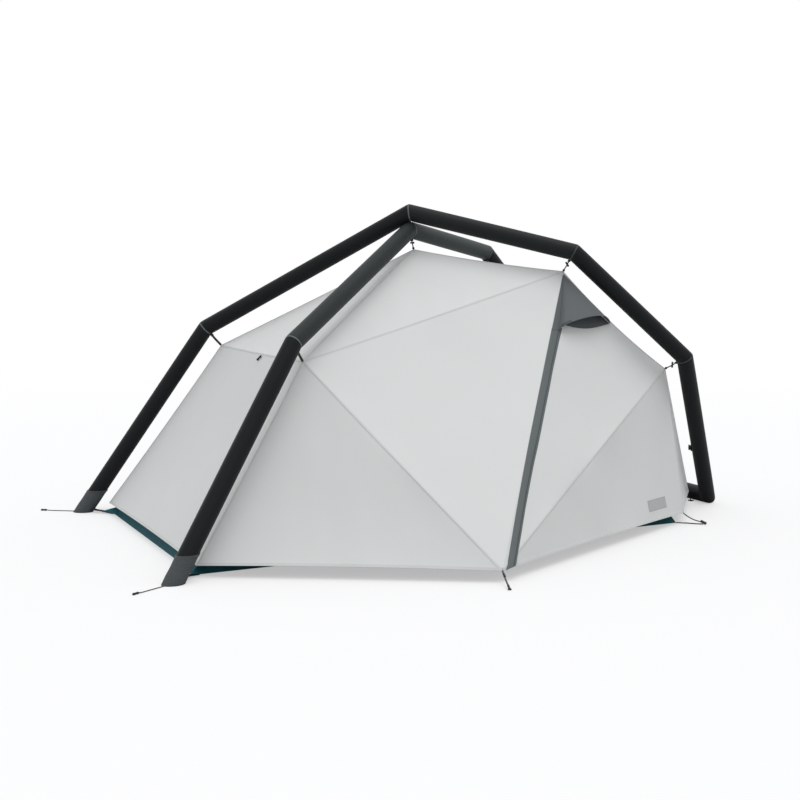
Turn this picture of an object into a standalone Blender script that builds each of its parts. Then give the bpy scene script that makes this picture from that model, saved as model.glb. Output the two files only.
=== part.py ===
"""A two-person tent that hangs from an outside frame of air-filled tubes, built in Blender.

Metres, +Z up. The front is the side at -Y and the tall rounded end is at -X. The origin is on the
ground under the middle of the tent. Two arches of tube cross over the crown. Each starts at a foot on
the left, and a short tube along the ground joins their right ends. The fly hangs inside the
tubes on short hooks, and an inner tent with a tray floor stands under the fly.
"""

import math

import bmesh
import bpy
from mathutils import Matrix, Vector

# Air tubes
TUBE_DIAMETER = 0.075
TUBE_RADIUS = TUBE_DIAMETER / 2
SLEEVE_WALL = 0.0008
BLADDER_WALL = 0.0008
BLADDER_CLEARANCE = 0.0005
TUBE_SIDES = 32
GAP = 0.0003

# Corners of the air frame: the arch that starts at the back foot, with its depth counted as positive
FOOT_X = -1.4192
FOOT_DEPTH = 0.804
SHOULDER_X = -0.8647
SHOULDER_DEPTH = 0.602
SHOULDER_HEIGHT = 0.870
CROWN_X = -0.0817
CROWN_HEIGHT = 1.365
CROSSING_RISE = 0.0385
BROW_X = 0.5296
BROW_DEPTH = 0.4155
BROW_HEIGHT = 1.2255
KNEE_X = 1.0183
KNEE_DEPTH = 0.581
KNEE_HEIGHT = 0.7505
HEEL_X = 1.4280
HEEL_DEPTH = 0.223

# Boots round the two feet, each with a strap to a corner of the floor
BOOT_WALL = 0.0012
BOOT_HEIGHT = 0.103
BOOT_SOLE = 0.002
STRAP_WIDTH = 0.024
STRAP_THICKNESS = 0.0016
STRAP_LIFT = 0.0006

# Fly corners, at the points where the hooks hold it and along its hem
FLY_THICKNESS = 0.001
HEM_HEIGHT = 0.045
FLY_SHOULDER_X = -0.8059
FLY_SHOULDER_DEPTH = 0.5477
FLY_SHOULDER_HEIGHT = 0.7905
FLY_CROWN_X = -0.0629
FLY_CROWN_HEIGHT = 1.238
FLY_BROW_X = 0.5108
FLY_BROW_DEPTH = 0.356
FLY_BROW_HEIGHT = 1.140
FLY_KNEE_X = 0.9852
FLY_KNEE_DEPTH = 0.476
FLY_KNEE_HEIGHT = 0.6958
HEM_LEFT_X = -1.3094
HEM_LEFT_DEPTH = 0.735
PORCH_X = -0.297
PORCH_DEPTH = 1.290
HEM_RIGHT_X = 1.0133
HEM_RIGHT_DEPTH = 0.600
TAIL_X = 1.3808
TAIL_DEPTH = 0.135
DOOR_CORNER_TRIM = 0.032
DOOR_FOOT_TRIM = 0.014
DOOR_HINGE_TRIM = 0.008

# Zip cover strip, its slider and the vent hood of each outer door
COVER_TOP_WIDTH = 0.056
COVER_FOOT_WIDTH = 0.040
COVER_THICKNESS = 0.0012
COVER_TOP_GAP = 0.002
COVER_FOOT_SETBACK = 0.012
COVER_FOOT_CUT = 0.045
SLIDER_LENGTH = 0.022
SLIDER_WIDTH = 0.012
SLIDER_THICKNESS = 0.005
SLIDER_START = 0.050
PULLER_LENGTH = 0.030
PULLER_WIDTH = 0.008
PULLER_THICKNESS = 0.0016
HOOD_THICKNESS = 0.0012
HOOD_SIDE_SETBACK = 0.002
HOOD_TOP_SETBACK = 0.014
HOOD_ZIP_LENGTH = 0.360
HOOD_SEAM_LENGTH = 0.305
HOOD_RISE = 0.072
HOOD_SWEEP = -0.014
HOOD_STEPS = 14

# Hooks that carry the fly
HOOK_CORD_RADIUS = 0.003
HOOK_BALL_RADIUS = 0.006
HOOK_BAR_RADIUS = 0.005
HOOK_BAR_LENGTH = 0.030
HOOK_BAR_SHARE = 0.45
HOOK_SIDES = 12
HOOK_BAR_SIDES = 10

# Inner tent
FLOOR_THICKNESS = 0.001
FLOOR_LEFT_X = -1.297
FLOOR_LEFT_DEPTH = 0.690
FLOOR_RIGHT_X = 0.983
FLOOR_RIGHT_DEPTH = 0.589
RIM_HEIGHT = 0.090
RIM_LEAN = 0.050
INNER_THICKNESS = 0.0006
INNER_SEAT = 0.0007
RIDGE_LEFT_X = -0.350
RIDGE_RIGHT_X = 0.500
RIDGE_LEFT_HEIGHT = 1.000
DOORWAY_X = -0.200
DOORWAY_FOOT_WIDTH = 0.720
DOORWAY_TOP_WIDTH = 0.420
DOORWAY_FOOT_MARGIN = 0.020
DOORWAY_LENGTH = 0.540
DOORWAY_GAP = 0.0006

# Inflation valve on the front right leg
VALVE_SHARE = 0.634
VALVE_FLANGE_RADIUS = 0.018
VALVE_FLANGE_THICKNESS = 0.003
VALVE_STEM_RADIUS = 0.011
VALVE_BORE_RADIUS = 0.008
VALVE_STEM_DEPTH = 0.012
VALVE_COLLAR_HEIGHT = 0.006
VALVE_CLEARANCE = 0.0005
CAP_RADIUS = 0.0125
CAP_THICKNESS = 0.004
CAP_LUG_LENGTH = 0.005
CAP_LUG_WIDTH = 0.008
CAP_LUG_SHARE = 0.75
VALVE_SIDES = 32
PORT_RADIUS = 0.006
PORT_SIDES = 16
CUT_OVERRUN = 0.010
CROSSING_REACH = 0.250

# Peg tethers on the ground, with a thicker sleeved loop end
TETHER_RADIUS = 0.002
TETHER_TIP_FACTOR = 1.75
TETHER_TIP_LENGTH = 0.022
TETHER_SIDES = 8
FOOT_PEG_X = -1.596
FOOT_PEG_DEPTH = 0.913
PORCH_PEG_X = -0.3300
PORCH_PEG_DEPTH = 1.405
SIDE_PEG_X = 1.0750
SIDE_PEG_DEPTH = 0.690

SMOOTH_ANGLE = math.radians(35)
PARALLEL_SHARE = 0.001
INSIDE_POINT = Vector((0, 0, FLY_SHOULDER_HEIGHT / 2))


def clear_scene():
    """Remove every object, mesh and curve that the file starts with."""
    for item in list(bpy.data.objects):
        bpy.data.objects.remove(item, do_unlink=True)
    for group in (bpy.data.meshes, bpy.data.curves, bpy.data.materials, bpy.data.collections):
        for item in list(group):
            group.remove(item)


def new_collection(name):
    """A collection linked under the scene."""
    collection = bpy.data.collections.new(name)
    bpy.context.scene.collection.children.link(collection)
    return collection


def finish_material(name, colour, roughness, metallic=0.0):
    """A Principled material with one colour."""
    material = bpy.data.materials.new(name)
    material.use_nodes = True
    shader = material.node_tree.nodes["Principled BSDF"]
    shader.inputs["Base Color"].default_value = (*colour, 1.0)
    shader.inputs["Roughness"].default_value = roughness
    shader.inputs["Metallic"].default_value = metallic
    material.diffuse_color = (*colour, 1.0)
    return material


clear_scene()
TENT = new_collection("inflatable_tent")
CUTTERS = new_collection("cutters")
TUBE_BLACK = finish_material("tube_black", (0.012, 0.013, 0.014), 0.55)
TUBE_GREY = finish_material("tube_grey", (0.045, 0.055, 0.055), 0.60)
BLADDER_FILM = finish_material("bladder_film", (0.60, 0.62, 0.60), 0.40)
BOOT_GREY = finish_material("boot_grey", (0.075, 0.085, 0.090), 0.80)
FLY_GREY = finish_material("fly_grey", (0.62, 0.62, 0.61), 0.75)
TRIM_GREY = finish_material("trim_grey", (0.120, 0.135, 0.140), 0.75)
FLOOR_TEAL = finish_material("floor_teal", (0.020, 0.065, 0.075), 0.60)
INNER_WHITE = finish_material("inner_white", (0.70, 0.70, 0.68), 0.85)
HARDWARE_BLACK = finish_material("hardware_black", (0.010, 0.010, 0.011), 0.45)
CORD_GREY = finish_material("cord_grey", (0.060, 0.062, 0.065), 0.80)


def mirrored(point):
    """The point's twin across the tent's middle plane."""
    return Vector((point.x, -point.y, point.z))


def add_mesh_object(name, mesh_data, material, collection=TENT):
    """Link a mesh as one named object, shaded smooth except at its sharp edges."""
    item = bpy.data.objects.new(name, mesh_data)
    item.data.materials.clear()
    item.data.materials.append(material)
    collection.objects.link(item)
    item.data.shade_smooth()
    item.data.set_sharp_from_angle(angle=SMOOTH_ANGLE)
    return item


def set_origin(item, place):
    """Put an object's origin at a place and leave its shape where it is."""
    item.data.transform(Matrix.Translation(-place))
    item.location = place


def mesh_from(bm, name):
    """Turn a bmesh into a mesh with outward faces."""
    bmesh.ops.recalc_face_normals(bm, faces=bm.faces[:])
    mesh_data = bpy.data.meshes.new(name)
    bm.to_mesh(mesh_data)
    bm.free()
    return mesh_data


def cutter(name, mesh_data):
    """A shape that only cuts or joins another one."""
    item = bpy.data.objects.new(name, mesh_data)
    CUTTERS.objects.link(item)
    item.hide_render = True
    item.display_type = "WIRE"
    return item


def combine(item, tool, operation):
    """Cut the item with the tool, or join the tool to it."""
    step = item.modifiers.new(tool.name, "BOOLEAN")
    step.operation = operation
    step.object = tool
    step.solver = "EXACT"


def aligned(direction, hint=Vector((0, 0, 1))):
    """A rotation whose Z axis is the direction, with its X axis near the hint."""
    z_axis = direction.normalized()
    x_axis = hint - hint.dot(z_axis) * z_axis
    if x_axis.length < PARALLEL_SHARE:
        x_axis = z_axis.orthogonal()
    x_axis.normalize()
    y_axis = z_axis.cross(x_axis)
    return Matrix((x_axis, y_axis, z_axis)).transposed().to_4x4()


def cylinder(radius, depth, sides, place):
    """A closed cylinder from the local origin along +Z, put in its place."""
    bm = bmesh.new()
    bmesh.ops.create_cone(
        bm,
        cap_ends=True,
        segments=sides,
        radius1=radius,
        radius2=radius,
        depth=depth,
        matrix=place @ Matrix.Translation((0, 0, depth / 2)),
    )
    return mesh_from(bm, "cylinder")


def box(size, place):
    """A closed box about the local origin, put in its place."""
    bm = bmesh.new()
    bmesh.ops.create_cube(bm, size=1.0, matrix=place @ Matrix.Diagonal((*size, 1)))
    return mesh_from(bm, "box")


def ball(radius, place):
    """A closed ball about the local origin, put in its place."""
    bm = bmesh.new()
    bmesh.ops.create_icosphere(bm, subdivisions=2, radius=radius, matrix=place)
    return mesh_from(bm, "ball")


# The air frame

def arch_points(side, crown_shift):
    """The centre line of one arch from its foot to its heel, with the foot at the given side."""
    return [
        Vector((FOOT_X, side * FOOT_DEPTH, 0)),
        Vector((SHOULDER_X, side * SHOULDER_DEPTH, SHOULDER_HEIGHT)),
        Vector((CROWN_X, 0, CROWN_HEIGHT + crown_shift)),
        Vector((BROW_X, -side * BROW_DEPTH, BROW_HEIGHT)),
        Vector((KNEE_X, -side * KNEE_DEPTH, KNEE_HEIGHT)),
        Vector((HEEL_X, -side * HEEL_DEPTH, TUBE_RADIUS)),
    ]


ARCH_OVER = arch_points(1, CROSSING_RISE)
ARCH_UNDER = arch_points(-1, -CROSSING_RISE)


def directions(points):
    """The unit direction of each straight run."""
    return [(b - a).normalized() for a, b in zip(points, points[1:])]


def side_vectors(axes):
    """One sideways vector for each run, carried round the elbows without twist."""
    sides = [axes[0].orthogonal().normalized()]
    for before, after in zip(axes, axes[1:]):
        turned = sides[-1].copy()
        turned.rotate(before.rotation_difference(after))
        sides.append(turned)
    return sides


def ring(centre, axis, side, normal, radius):
    """The outline of a round tube where a plane cuts it."""
    across = axis.cross(side)
    points = []
    for step in range(TUBE_SIDES):
        angle = 2 * math.pi * step / TUBE_SIDES
        spoke = radius * (math.cos(angle) * side + math.sin(angle) * across)
        slide = -spoke.dot(normal) / axis.dot(normal)
        points.append(centre + spoke + slide * axis)
    return points


def skin(bm, rings, closed):
    """Join a row of rings into a tube wall, and its last ring to its first if it is closed."""
    loops = [[bm.verts.new(point) for point in outline] for outline in rings]
    pairs = list(zip(loops, loops[1:]))
    if closed:
        pairs.append((loops[-1], loops[0]))
    for near, far in pairs:
        for step in range(len(near)):
            after = (step + 1) % len(near)
            bm.faces.new((near[step], near[after], far[after], far[step]))
    return loops


def mitre(before, after):
    """The normal of the plane that halves the angle between two runs."""
    return (before + after).normalized()


def end_planes(points, index, gap):
    """Where run number index ends: a point and a plane normal for each end."""
    axes = directions(points)
    axis = axes[index]
    start_normal = mitre(axes[index - 1], axis) if index else axis
    end_normal = mitre(axis, axes[index + 1]) if index + 1 < len(axes) else axis
    start = points[index] + axis * (gap / 2)
    end = points[index + 1] - axis * (gap / 2)
    return (start, start_normal), (end, end_normal)


def foot_cut(points, height):
    """The point of the first run at a height, so that the tube can be cut level there."""
    axis = directions(points)[0]
    return points[0] + axis * (height / axis.z)


def closed_tube(rings):
    """A solid tube through a row of rings, with flat ends."""
    bm = bmesh.new()
    loops = skin(bm, rings, closed=False)
    bm.faces.new(loops[0])
    bm.faces.new(loops[-1])
    return mesh_from(bm, "closed_tube")


def over_crossing(name, radius):
    """A cutter in the shape of the upper arch where it passes over the lower one."""
    axes = directions(ARCH_OVER)
    sides = side_vectors(axes)
    start = ARCH_OVER[2] - axes[1] * CROSSING_REACH
    end = ARCH_OVER[2] + axes[2] * CROSSING_REACH
    rings = [
        ring(start, axes[1], sides[1], axes[1], radius),
        ring(ARCH_OVER[2], axes[1], sides[1], mitre(axes[1], axes[2]), radius),
        ring(end, axes[2], sides[2], axes[2], radius),
    ]
    return cutter(name, closed_tube(rings))


def dented_sleeve(name, points, index, material):
    """A run of the lower arch, with a hollow pressed into its cover by the upper arch."""
    axes = directions(points)
    axis = axes[index]
    side = side_vectors(axes)[index]
    (start, start_normal), (end, end_normal) = end_planes(points, index, GAP)
    outside = closed_tube(
        [
            ring(start, axis, side, start_normal, TUBE_RADIUS),
            ring(end, axis, side, end_normal, TUBE_RADIUS),
        ]
    )
    bore = TUBE_RADIUS - SLEEVE_WALL
    inside = closed_tube(
        [
            ring(start - axis * CUT_OVERRUN, axis, side, start_normal, bore),
            ring(end + axis * CUT_OVERRUN, axis, side, end_normal, bore),
        ]
    )
    item = add_mesh_object(name, outside, material)
    combine(item, over_crossing(name + "_dent", TUBE_RADIUS + GAP), "DIFFERENCE")
    hollow = cutter(name + "_bore", inside)
    hollow_dent = over_crossing(name + "_bore_dent", TUBE_RADIUS + GAP + SLEEVE_WALL)
    combine(hollow, hollow_dent, "DIFFERENCE")
    combine(item, hollow, "DIFFERENCE")
    return item


def sleeve(name, points, index, material, ends=None):
    """The woven cover of one straight run of tube, open at both ends."""
    axes = directions(points)
    axis = axes[index]
    side = side_vectors(axes)[index]
    (start, start_normal), (end, end_normal) = ends or end_planes(points, index, GAP)
    bore = TUBE_RADIUS - SLEEVE_WALL
    bm = bmesh.new()
    skin(
        bm,
        [
            ring(start, axis, side, start_normal, TUBE_RADIUS),
            ring(end, axis, side, end_normal, TUBE_RADIUS),
            ring(end, axis, side, end_normal, bore),
            ring(start, axis, side, start_normal, bore),
        ],
        closed=True,
    )
    return add_mesh_object(name, mesh_from(bm, name), material)


def foot_planes(points):
    """The end planes of a leg that is cut level above its boot's sole."""
    _, end = end_planes(points, 0, GAP)
    return (foot_cut(points, BOOT_SOLE + GAP), Vector((0, 0, 1))), end


def ground_line():
    """The centre line of the short tube that lies on the ground, from front to back."""
    return [ARCH_OVER[-1], ARCH_UNDER[-1]]


def closed_frame():
    """The whole ribbon of tube, from the back foot round to the front foot."""
    return ARCH_OVER + ARCH_UNDER[::-1]


RUN_NAMES = ["leg", "rafter", "ridge", "shoulder", "tail"]


def make_sleeves():
    """The covers of both arches and of the tube on the ground."""
    ribbon = closed_frame()
    over_names = ["back_left", "back_left", "front_right", "front_right", "front_right"]
    under_names = ["front_left", "front_left", "back_right", "back_right", "back_right"]
    pieces = {}
    for index, run in enumerate(RUN_NAMES):
        ends = foot_planes(ARCH_OVER) if index == 0 else end_planes(ribbon, index, GAP)
        name = f"sleeve_{run}_{over_names[index]}"
        pieces[name] = sleeve(name, ribbon, index, TUBE_BLACK, ends)
    backwards = ribbon[::-1]
    for index, run in enumerate(RUN_NAMES):
        ends = foot_planes(ARCH_UNDER) if index == 0 else end_planes(backwards, index, GAP)
        name = f"sleeve_{run}_{under_names[index]}"
        if index in (1, 2):
            pieces[name] = dented_sleeve(name, backwards, index, TUBE_GREY)
        else:
            pieces[name] = sleeve(name, backwards, index, TUBE_BLACK, ends)
    pieces["sleeve_ground"] = sleeve("sleeve_ground", ribbon, len(RUN_NAMES), TUBE_BLACK)
    return pieces


def bladder_rings(points, radius, inset):
    """Rings of one air chamber from its foot to the middle of the ground tube."""
    axes = directions(points)
    sides = side_vectors(axes)
    foot_height = BOOT_SOLE + GAP + BLADDER_CLEARANCE + inset
    rings = [ring(foot_cut(points, foot_height), axes[0], sides[0], Vector((0, 0, 1)), radius)]
    for index in range(1, len(axes)):
        normal = mitre(axes[index - 1], axes[index])
        rings.append(ring(points[index], axes[index - 1], sides[index - 1], normal, radius))
    last = points[-1] - axes[-1] * (GAP / 2 + inset)
    rings.append(ring(last, axes[-1], sides[-1], axes[-1], radius))
    return rings


def bladder(name, arch, dented):
    """A welded air chamber, pressed in where the upper arch lies on the lower one."""
    points = arch + [Vector((HEEL_X, 0, TUBE_RADIUS))]
    outer = TUBE_RADIUS - SLEEVE_WALL - BLADDER_CLEARANCE
    press = TUBE_RADIUS + GAP + SLEEVE_WALL + BLADDER_CLEARANCE
    item = add_mesh_object(name, closed_tube(bladder_rings(points, outer, 0)), BLADDER_FILM)
    air_rings = bladder_rings(points, outer - BLADDER_WALL, BLADDER_WALL)
    air = cutter(name + "_air", closed_tube(air_rings))
    if dented:
        combine(item, over_crossing(name + "_dent", press), "DIFFERENCE")
        combine(air, over_crossing(name + "_air_dent", press + BLADDER_WALL), "DIFFERENCE")
    combine(item, air, "DIFFERENCE")
    return item


def make_bladders():
    """The two air chambers, joined by a port in the middle of the ground tube."""
    over = bladder("bladder_over", ARCH_OVER, dented=False)
    under = bladder("bladder_under", ARCH_UNDER, dented=True)
    depth = 2 * CUT_OVERRUN
    place = Matrix.Translation((HEEL_X, -CUT_OVERRUN, TUBE_RADIUS)) @ aligned(Vector((0, 1, 0)))
    port = cutter("port_cut", cylinder(PORT_RADIUS, depth, PORT_SIDES, place))
    combine(over, port, "DIFFERENCE")
    combine(under, port, "DIFFERENCE")
    return over


def make_boot(name, points, floor_corner):
    """A stiff woven boot round one foot, with a flat sole and a strap to the floor's corner."""
    axis = directions(points)[0]
    side = side_vectors(directions(points))[0]
    outer = TUBE_RADIUS + GAP + BOOT_WALL
    level = Vector((0, 0, 1))
    top = foot_cut(points, BOOT_HEIGHT)
    bm = bmesh.new()
    loops = skin(
        bm,
        [ring(points[0], axis, side, level, outer), ring(top, axis, side, level, outer)],
        closed=False,
    )
    bm.faces.new(loops[0])
    bm.faces.new(loops[-1])
    boot = add_mesh_object(name, mesh_from(bm, name), BOOT_GREY)

    aim = floor_corner - points[0]
    aim.z = 0
    reach = aim.length - GAP
    aim.normalize()
    middle = points[0] + aim * (reach / 2)
    middle.z = STRAP_LIFT + STRAP_THICKNESS / 2
    turn = Matrix.Rotation(math.atan2(aim.y, aim.x), 4, "Z")
    size = (reach, STRAP_WIDTH, STRAP_THICKNESS)
    strap = cutter(name + "_strap", box(size, Matrix.Translation(middle) @ turn))
    combine(boot, strap, "UNION")

    hollow_top = foot_cut(points, BOOT_HEIGHT + CUT_OVERRUN)
    bm = bmesh.new()
    loops = skin(
        bm,
        [
            ring(foot_cut(points, BOOT_SOLE), axis, side, level, TUBE_RADIUS + GAP),
            ring(hollow_top, axis, side, level, TUBE_RADIUS + GAP),
        ],
        closed=False,
    )
    bm.faces.new(loops[0])
    bm.faces.new(loops[-1])
    hollow = cutter(name + "_hollow", mesh_from(bm, name + "_hollow"))
    combine(boot, hollow, "DIFFERENCE")


# Flat cloth panels that meet along shared seams

FLY_CORNERS = {
    "crown": Vector((FLY_CROWN_X, 0, FLY_CROWN_HEIGHT)),
    "shoulder_front": Vector((FLY_SHOULDER_X, -FLY_SHOULDER_DEPTH, FLY_SHOULDER_HEIGHT)),
    "brow_front": Vector((FLY_BROW_X, -FLY_BROW_DEPTH, FLY_BROW_HEIGHT)),
    "knee_front": Vector((FLY_KNEE_X, -FLY_KNEE_DEPTH, FLY_KNEE_HEIGHT)),
    "hem_left_front": Vector((HEM_LEFT_X, -HEM_LEFT_DEPTH, HEM_HEIGHT)),
    "porch_front": Vector((PORCH_X, -PORCH_DEPTH, HEM_HEIGHT)),
    "hem_right_front": Vector((HEM_RIGHT_X, -HEM_RIGHT_DEPTH, HEM_HEIGHT)),
    "tail_front": Vector((TAIL_X, -TAIL_DEPTH, HEM_HEIGHT)),
}
for corner_name in [name for name in FLY_CORNERS if name.endswith("front")]:
    FLY_CORNERS[corner_name.replace("front", "back")] = mirrored(FLY_CORNERS[corner_name])

FLY_FRONT_PANELS = {
    "fly_roof_front": ("crown", "shoulder_front", "brow_front"),
    "fly_porch_front_upper": ("shoulder_front", "porch_front", "brow_front"),
    "fly_porch_front_lower": ("shoulder_front", "hem_left_front", "porch_front"),
    "door_front_upper": ("brow_front", "porch_front", "knee_front"),
    "door_front_lower": ("knee_front", "porch_front", "hem_right_front"),
    "fly_corner_front": ("knee_front", "hem_right_front", "tail_front"),
}
FLY_PANELS = {
    "fly_roof_left": ("crown", "shoulder_back", "shoulder_front"),
    "fly_roof_middle": ("crown", "brow_front", "brow_back"),
    "fly_roof_right": ("brow_front", "knee_front", "knee_back", "brow_back"),
    "fly_end_left": ("shoulder_front", "shoulder_back", "hem_left_back", "hem_left_front"),
    "fly_end_right": ("knee_front", "tail_front", "tail_back", "knee_back"),
}
for panel_name, panel_corners in FLY_FRONT_PANELS.items():
    FLY_PANELS[panel_name] = panel_corners
    FLY_PANELS[panel_name.replace("front", "back")] = tuple(
        name.replace("front", "back") for name in panel_corners
    )


class PanelSet:
    """Flat panels between named corners, each kept clear of its neighbours along their seams."""

    def __init__(self, corners, panels, thickness, inside):
        self.corners = corners
        self.thickness = thickness
        self.panels = {}
        for name, names in panels.items():
            points = [corners[item] for item in names]
            normal = (points[1] - points[0]).cross(points[2] - points[0])
            if normal.dot(points[0] - inside) < 0:
                names = names[::-1]
            self.panels[name] = names
        self.normals = {name: self.normal(names) for name, names in self.panels.items()}

    def normal(self, names):
        """The outward normal of a panel."""
        points = [self.corners[item] for item in names]
        return (points[1] - points[0]).cross(points[2] - points[0]).normalized()

    def neighbour(self, name, start, end):
        """The panel on the other side of a seam, or None along a hem."""
        for other, names in self.panels.items():
            pairs = list(zip(names, names[1:] + names[:1]))
            if other != name and (end, start) in pairs:
                return other
        return None

    def seam_inset(self, name, start, end):
        """How far a panel stops short of a seam, so that two sloping sheets stay clear there."""
        other = self.neighbour(name, start, end)
        if other is None:
            return 0
        normal, far = self.normals[name], self.normals[other]
        seam = (self.corners[end] - self.corners[start]).normalized()
        convex = normal.cross(far).dot(seam) > 0
        angle = normal.angle(far)
        lean = self.thickness * math.tan(angle / 2) if convex else 0
        return GAP / 2 / math.cos(angle / 2) + lean

    def outline(self, name):
        """The corner points of a panel after it is drawn in from its seams."""
        names, normal = self.panels[name], self.normals[name]
        lines = []
        for start, end in zip(names, names[1:] + names[:1]):
            along = (self.corners[end] - self.corners[start]).normalized()
            inward = normal.cross(along)
            base = self.corners[start] + inward * self.seam_inset(name, start, end)
            lines.append((base, along, inward))
        points = []
        for before, line in zip(lines[-1:] + lines[:-1], lines):
            base, along, _ = line
            reach = (before[0] - base).dot(before[2]) / along.dot(before[2])
            points.append(base + along * reach)
        return points


def cloth_panel(name, points, thickness, material):
    """A flat sheet with its outer face through the points and its thickness on the inside."""
    bm = bmesh.new()
    bm.faces.new([bm.verts.new(point) for point in points])
    mesh_data = bpy.data.meshes.new(name)
    bm.to_mesh(mesh_data)
    bm.free()
    item = add_mesh_object(name, mesh_data, material)
    shell = item.modifiers.new("thickness", "SOLIDIFY")
    shell.thickness = thickness
    shell.offset = -1
    return item


def trimmed(points, corners, trims):
    """Cut off the outline's corners that lie at the given places, each by its own length."""
    result = []
    for index, point in enumerate(points):
        before = points[index - 1]
        after = points[(index + 1) % len(points)]
        trim = 0
        for place, length in zip(corners, trims):
            if (point - place).length < length / 2:
                trim = length
        if not trim:
            result.append(point)
            continue
        result.append(point + (before - point).normalized() * trim)
        result.append(point + (after - point).normalized() * trim)
    return result


def door_hinge(side):
    """The lower end of the seam that an outer door turns about."""
    return FLY_CORNERS[f"hem_right_{side}"]


def make_fly():
    """All panels of the fly, with the two outer doors cut clear of the hooks and pegs."""
    fly = PanelSet(FLY_CORNERS, FLY_PANELS, FLY_THICKNESS, INSIDE_POINT)
    for name in fly.panels:
        points = fly.outline(name)
        if name.startswith("door"):
            side = "front" if "front" in name else "back"
            trims = {
                "brow": DOOR_CORNER_TRIM,
                "knee": DOOR_CORNER_TRIM,
                "porch": DOOR_FOOT_TRIM,
                "hem_right": DOOR_HINGE_TRIM,
            }
            places = [FLY_CORNERS[f"{key}_{side}"] for key in trims]
            points = trimmed(points, places, trims.values())
        panel = cloth_panel(name, points, FLY_THICKNESS, FLY_GREY)
        if name.startswith("door"):
            set_origin(panel, door_hinge(side))
    return fly


class DoorFrame:
    """Directions and places on the flat upper part of an outer door."""

    def __init__(self, fly, side):
        self.side = side
        self.brow = FLY_CORNERS[f"brow_{side}"]
        self.porch = FLY_CORNERS[f"porch_{side}"]
        self.knee = FLY_CORNERS[f"knee_{side}"]
        self.normal = fly.normals[f"door_{side}_upper"]
        self.beside = fly.normals[f"fly_porch_{side}_upper"]
        self.down = (self.porch - self.brow).normalized()
        self.zip_length = (self.porch - self.brow).length
        self.seam = (self.knee - self.brow).normalized()
        inward = self.seam - self.seam.dot(self.down) * self.down
        self.across = inward.normalized()
        self.inside = -(self.normal + self.beside).normalized()

    def place(self, down, across, lift):
        """A point on the door at a distance down the zip, across from it and off its face."""
        return self.brow + self.down * down + self.across * across + self.normal * lift


def hood_top(door):
    """The hood's top point and how far down the zip it lies."""
    seam_in = door.normal.cross(door.seam)
    if seam_in.dot(door.down) < 0:
        seam_in = -seam_in
    slant = HOOD_SIDE_SETBACK * door.seam.dot(door.down) / door.seam.dot(door.across)
    down = slant + HOOD_TOP_SETBACK / seam_in.dot(door.down)
    return door.place(down, HOOD_SIDE_SETBACK, GAP), down


def make_zip_cover(door):
    """The flat strip that covers the zip, with a slanting lower end."""
    lift = GAP + COVER_THICKNESS
    near = GAP
    top = hood_top(door)[1] + HOOD_ZIP_LENGTH + COVER_TOP_GAP
    foot = door.zip_length - COVER_FOOT_SETBACK
    points = [
        door.place(top, near, lift),
        door.place(foot, near, lift),
        door.place(foot - COVER_FOOT_CUT, near + COVER_FOOT_WIDTH, lift),
        door.place(top, near + COVER_TOP_WIDTH, lift),
    ]
    facing = (points[1] - points[0]).cross(points[2] - points[0])
    if facing.dot(door.normal) < 0:
        points.reverse()
    cover = cloth_panel(f"zip_cover_{door.side}", points, COVER_THICKNESS, TRIM_GREY)
    set_origin(cover, door_hinge(door.side))


def make_hood(door):
    """The vent hood, a cone of cloth that stands open over the top of the door."""
    top, _ = hood_top(door)
    zip_end = top + door.down * HOOD_ZIP_LENGTH
    seam_end = top + door.seam * HOOD_SEAM_LENGTH
    away = ((zip_end + seam_end) / 2 - top).normalized()
    rim = []
    for step in range(HOOD_STEPS + 1):
        share = step / HOOD_STEPS
        bulge = math.sin(math.pi * share)
        point = zip_end.lerp(seam_end, share)
        rim.append(point + door.normal * (HOOD_RISE * bulge) + away * (HOOD_SWEEP * bulge))
    bm = bmesh.new()
    apex = bm.verts.new(top)
    verts = [bm.verts.new(point) for point in rim]
    for near, far in zip(verts, verts[1:]):
        bm.faces.new((apex, near, far))
    bm.faces.ensure_lookup_table()
    middle = bm.faces[HOOD_STEPS // 2]
    middle.normal_update()
    if middle.normal.dot(door.normal) < 0:
        bmesh.ops.reverse_faces(bm, faces=bm.faces[:])
    name = f"vent_hood_{door.side}"
    mesh_data = bpy.data.meshes.new(name)
    bm.to_mesh(mesh_data)
    bm.free()
    item = add_mesh_object(name, mesh_data, TRIM_GREY)
    shell = item.modifiers.new("thickness", "SOLIDIFY")
    shell.thickness = HOOD_THICKNESS
    shell.offset = 1
    set_origin(item, door_hinge(door.side))


def make_slider(door):
    """The zip slider with its puller, on the inner side of the zip at its lower end."""
    half_angle = door.normal.angle(door.beside) / 2
    drop = FLY_THICKNESS / math.cos(half_angle) + SLIDER_WIDTH / 2 * math.tan(half_angle) + GAP
    centre = door.brow + door.down * (door.zip_length - SLIDER_START)
    centre += door.inside * (drop + SLIDER_THICKNESS / 2)
    turn = aligned(door.inside, door.down)
    name = f"zip_slider_{door.side}"
    size = (SLIDER_LENGTH, SLIDER_WIDTH, SLIDER_THICKNESS)
    body = box(size, turn)
    item = add_mesh_object(name, body, HARDWARE_BLACK)
    item.location = centre
    tab_size = (PULLER_LENGTH, PULLER_WIDTH, PULLER_THICKNESS)
    hang = centre + door.inside * ((SLIDER_THICKNESS + PULLER_THICKNESS) / 2 - GAP)
    hang += door.down * (PULLER_LENGTH / 2)
    tab = cutter(name + "_puller", box(tab_size, Matrix.Translation(hang) @ turn))
    combine(item, tab, "UNION")


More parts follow.
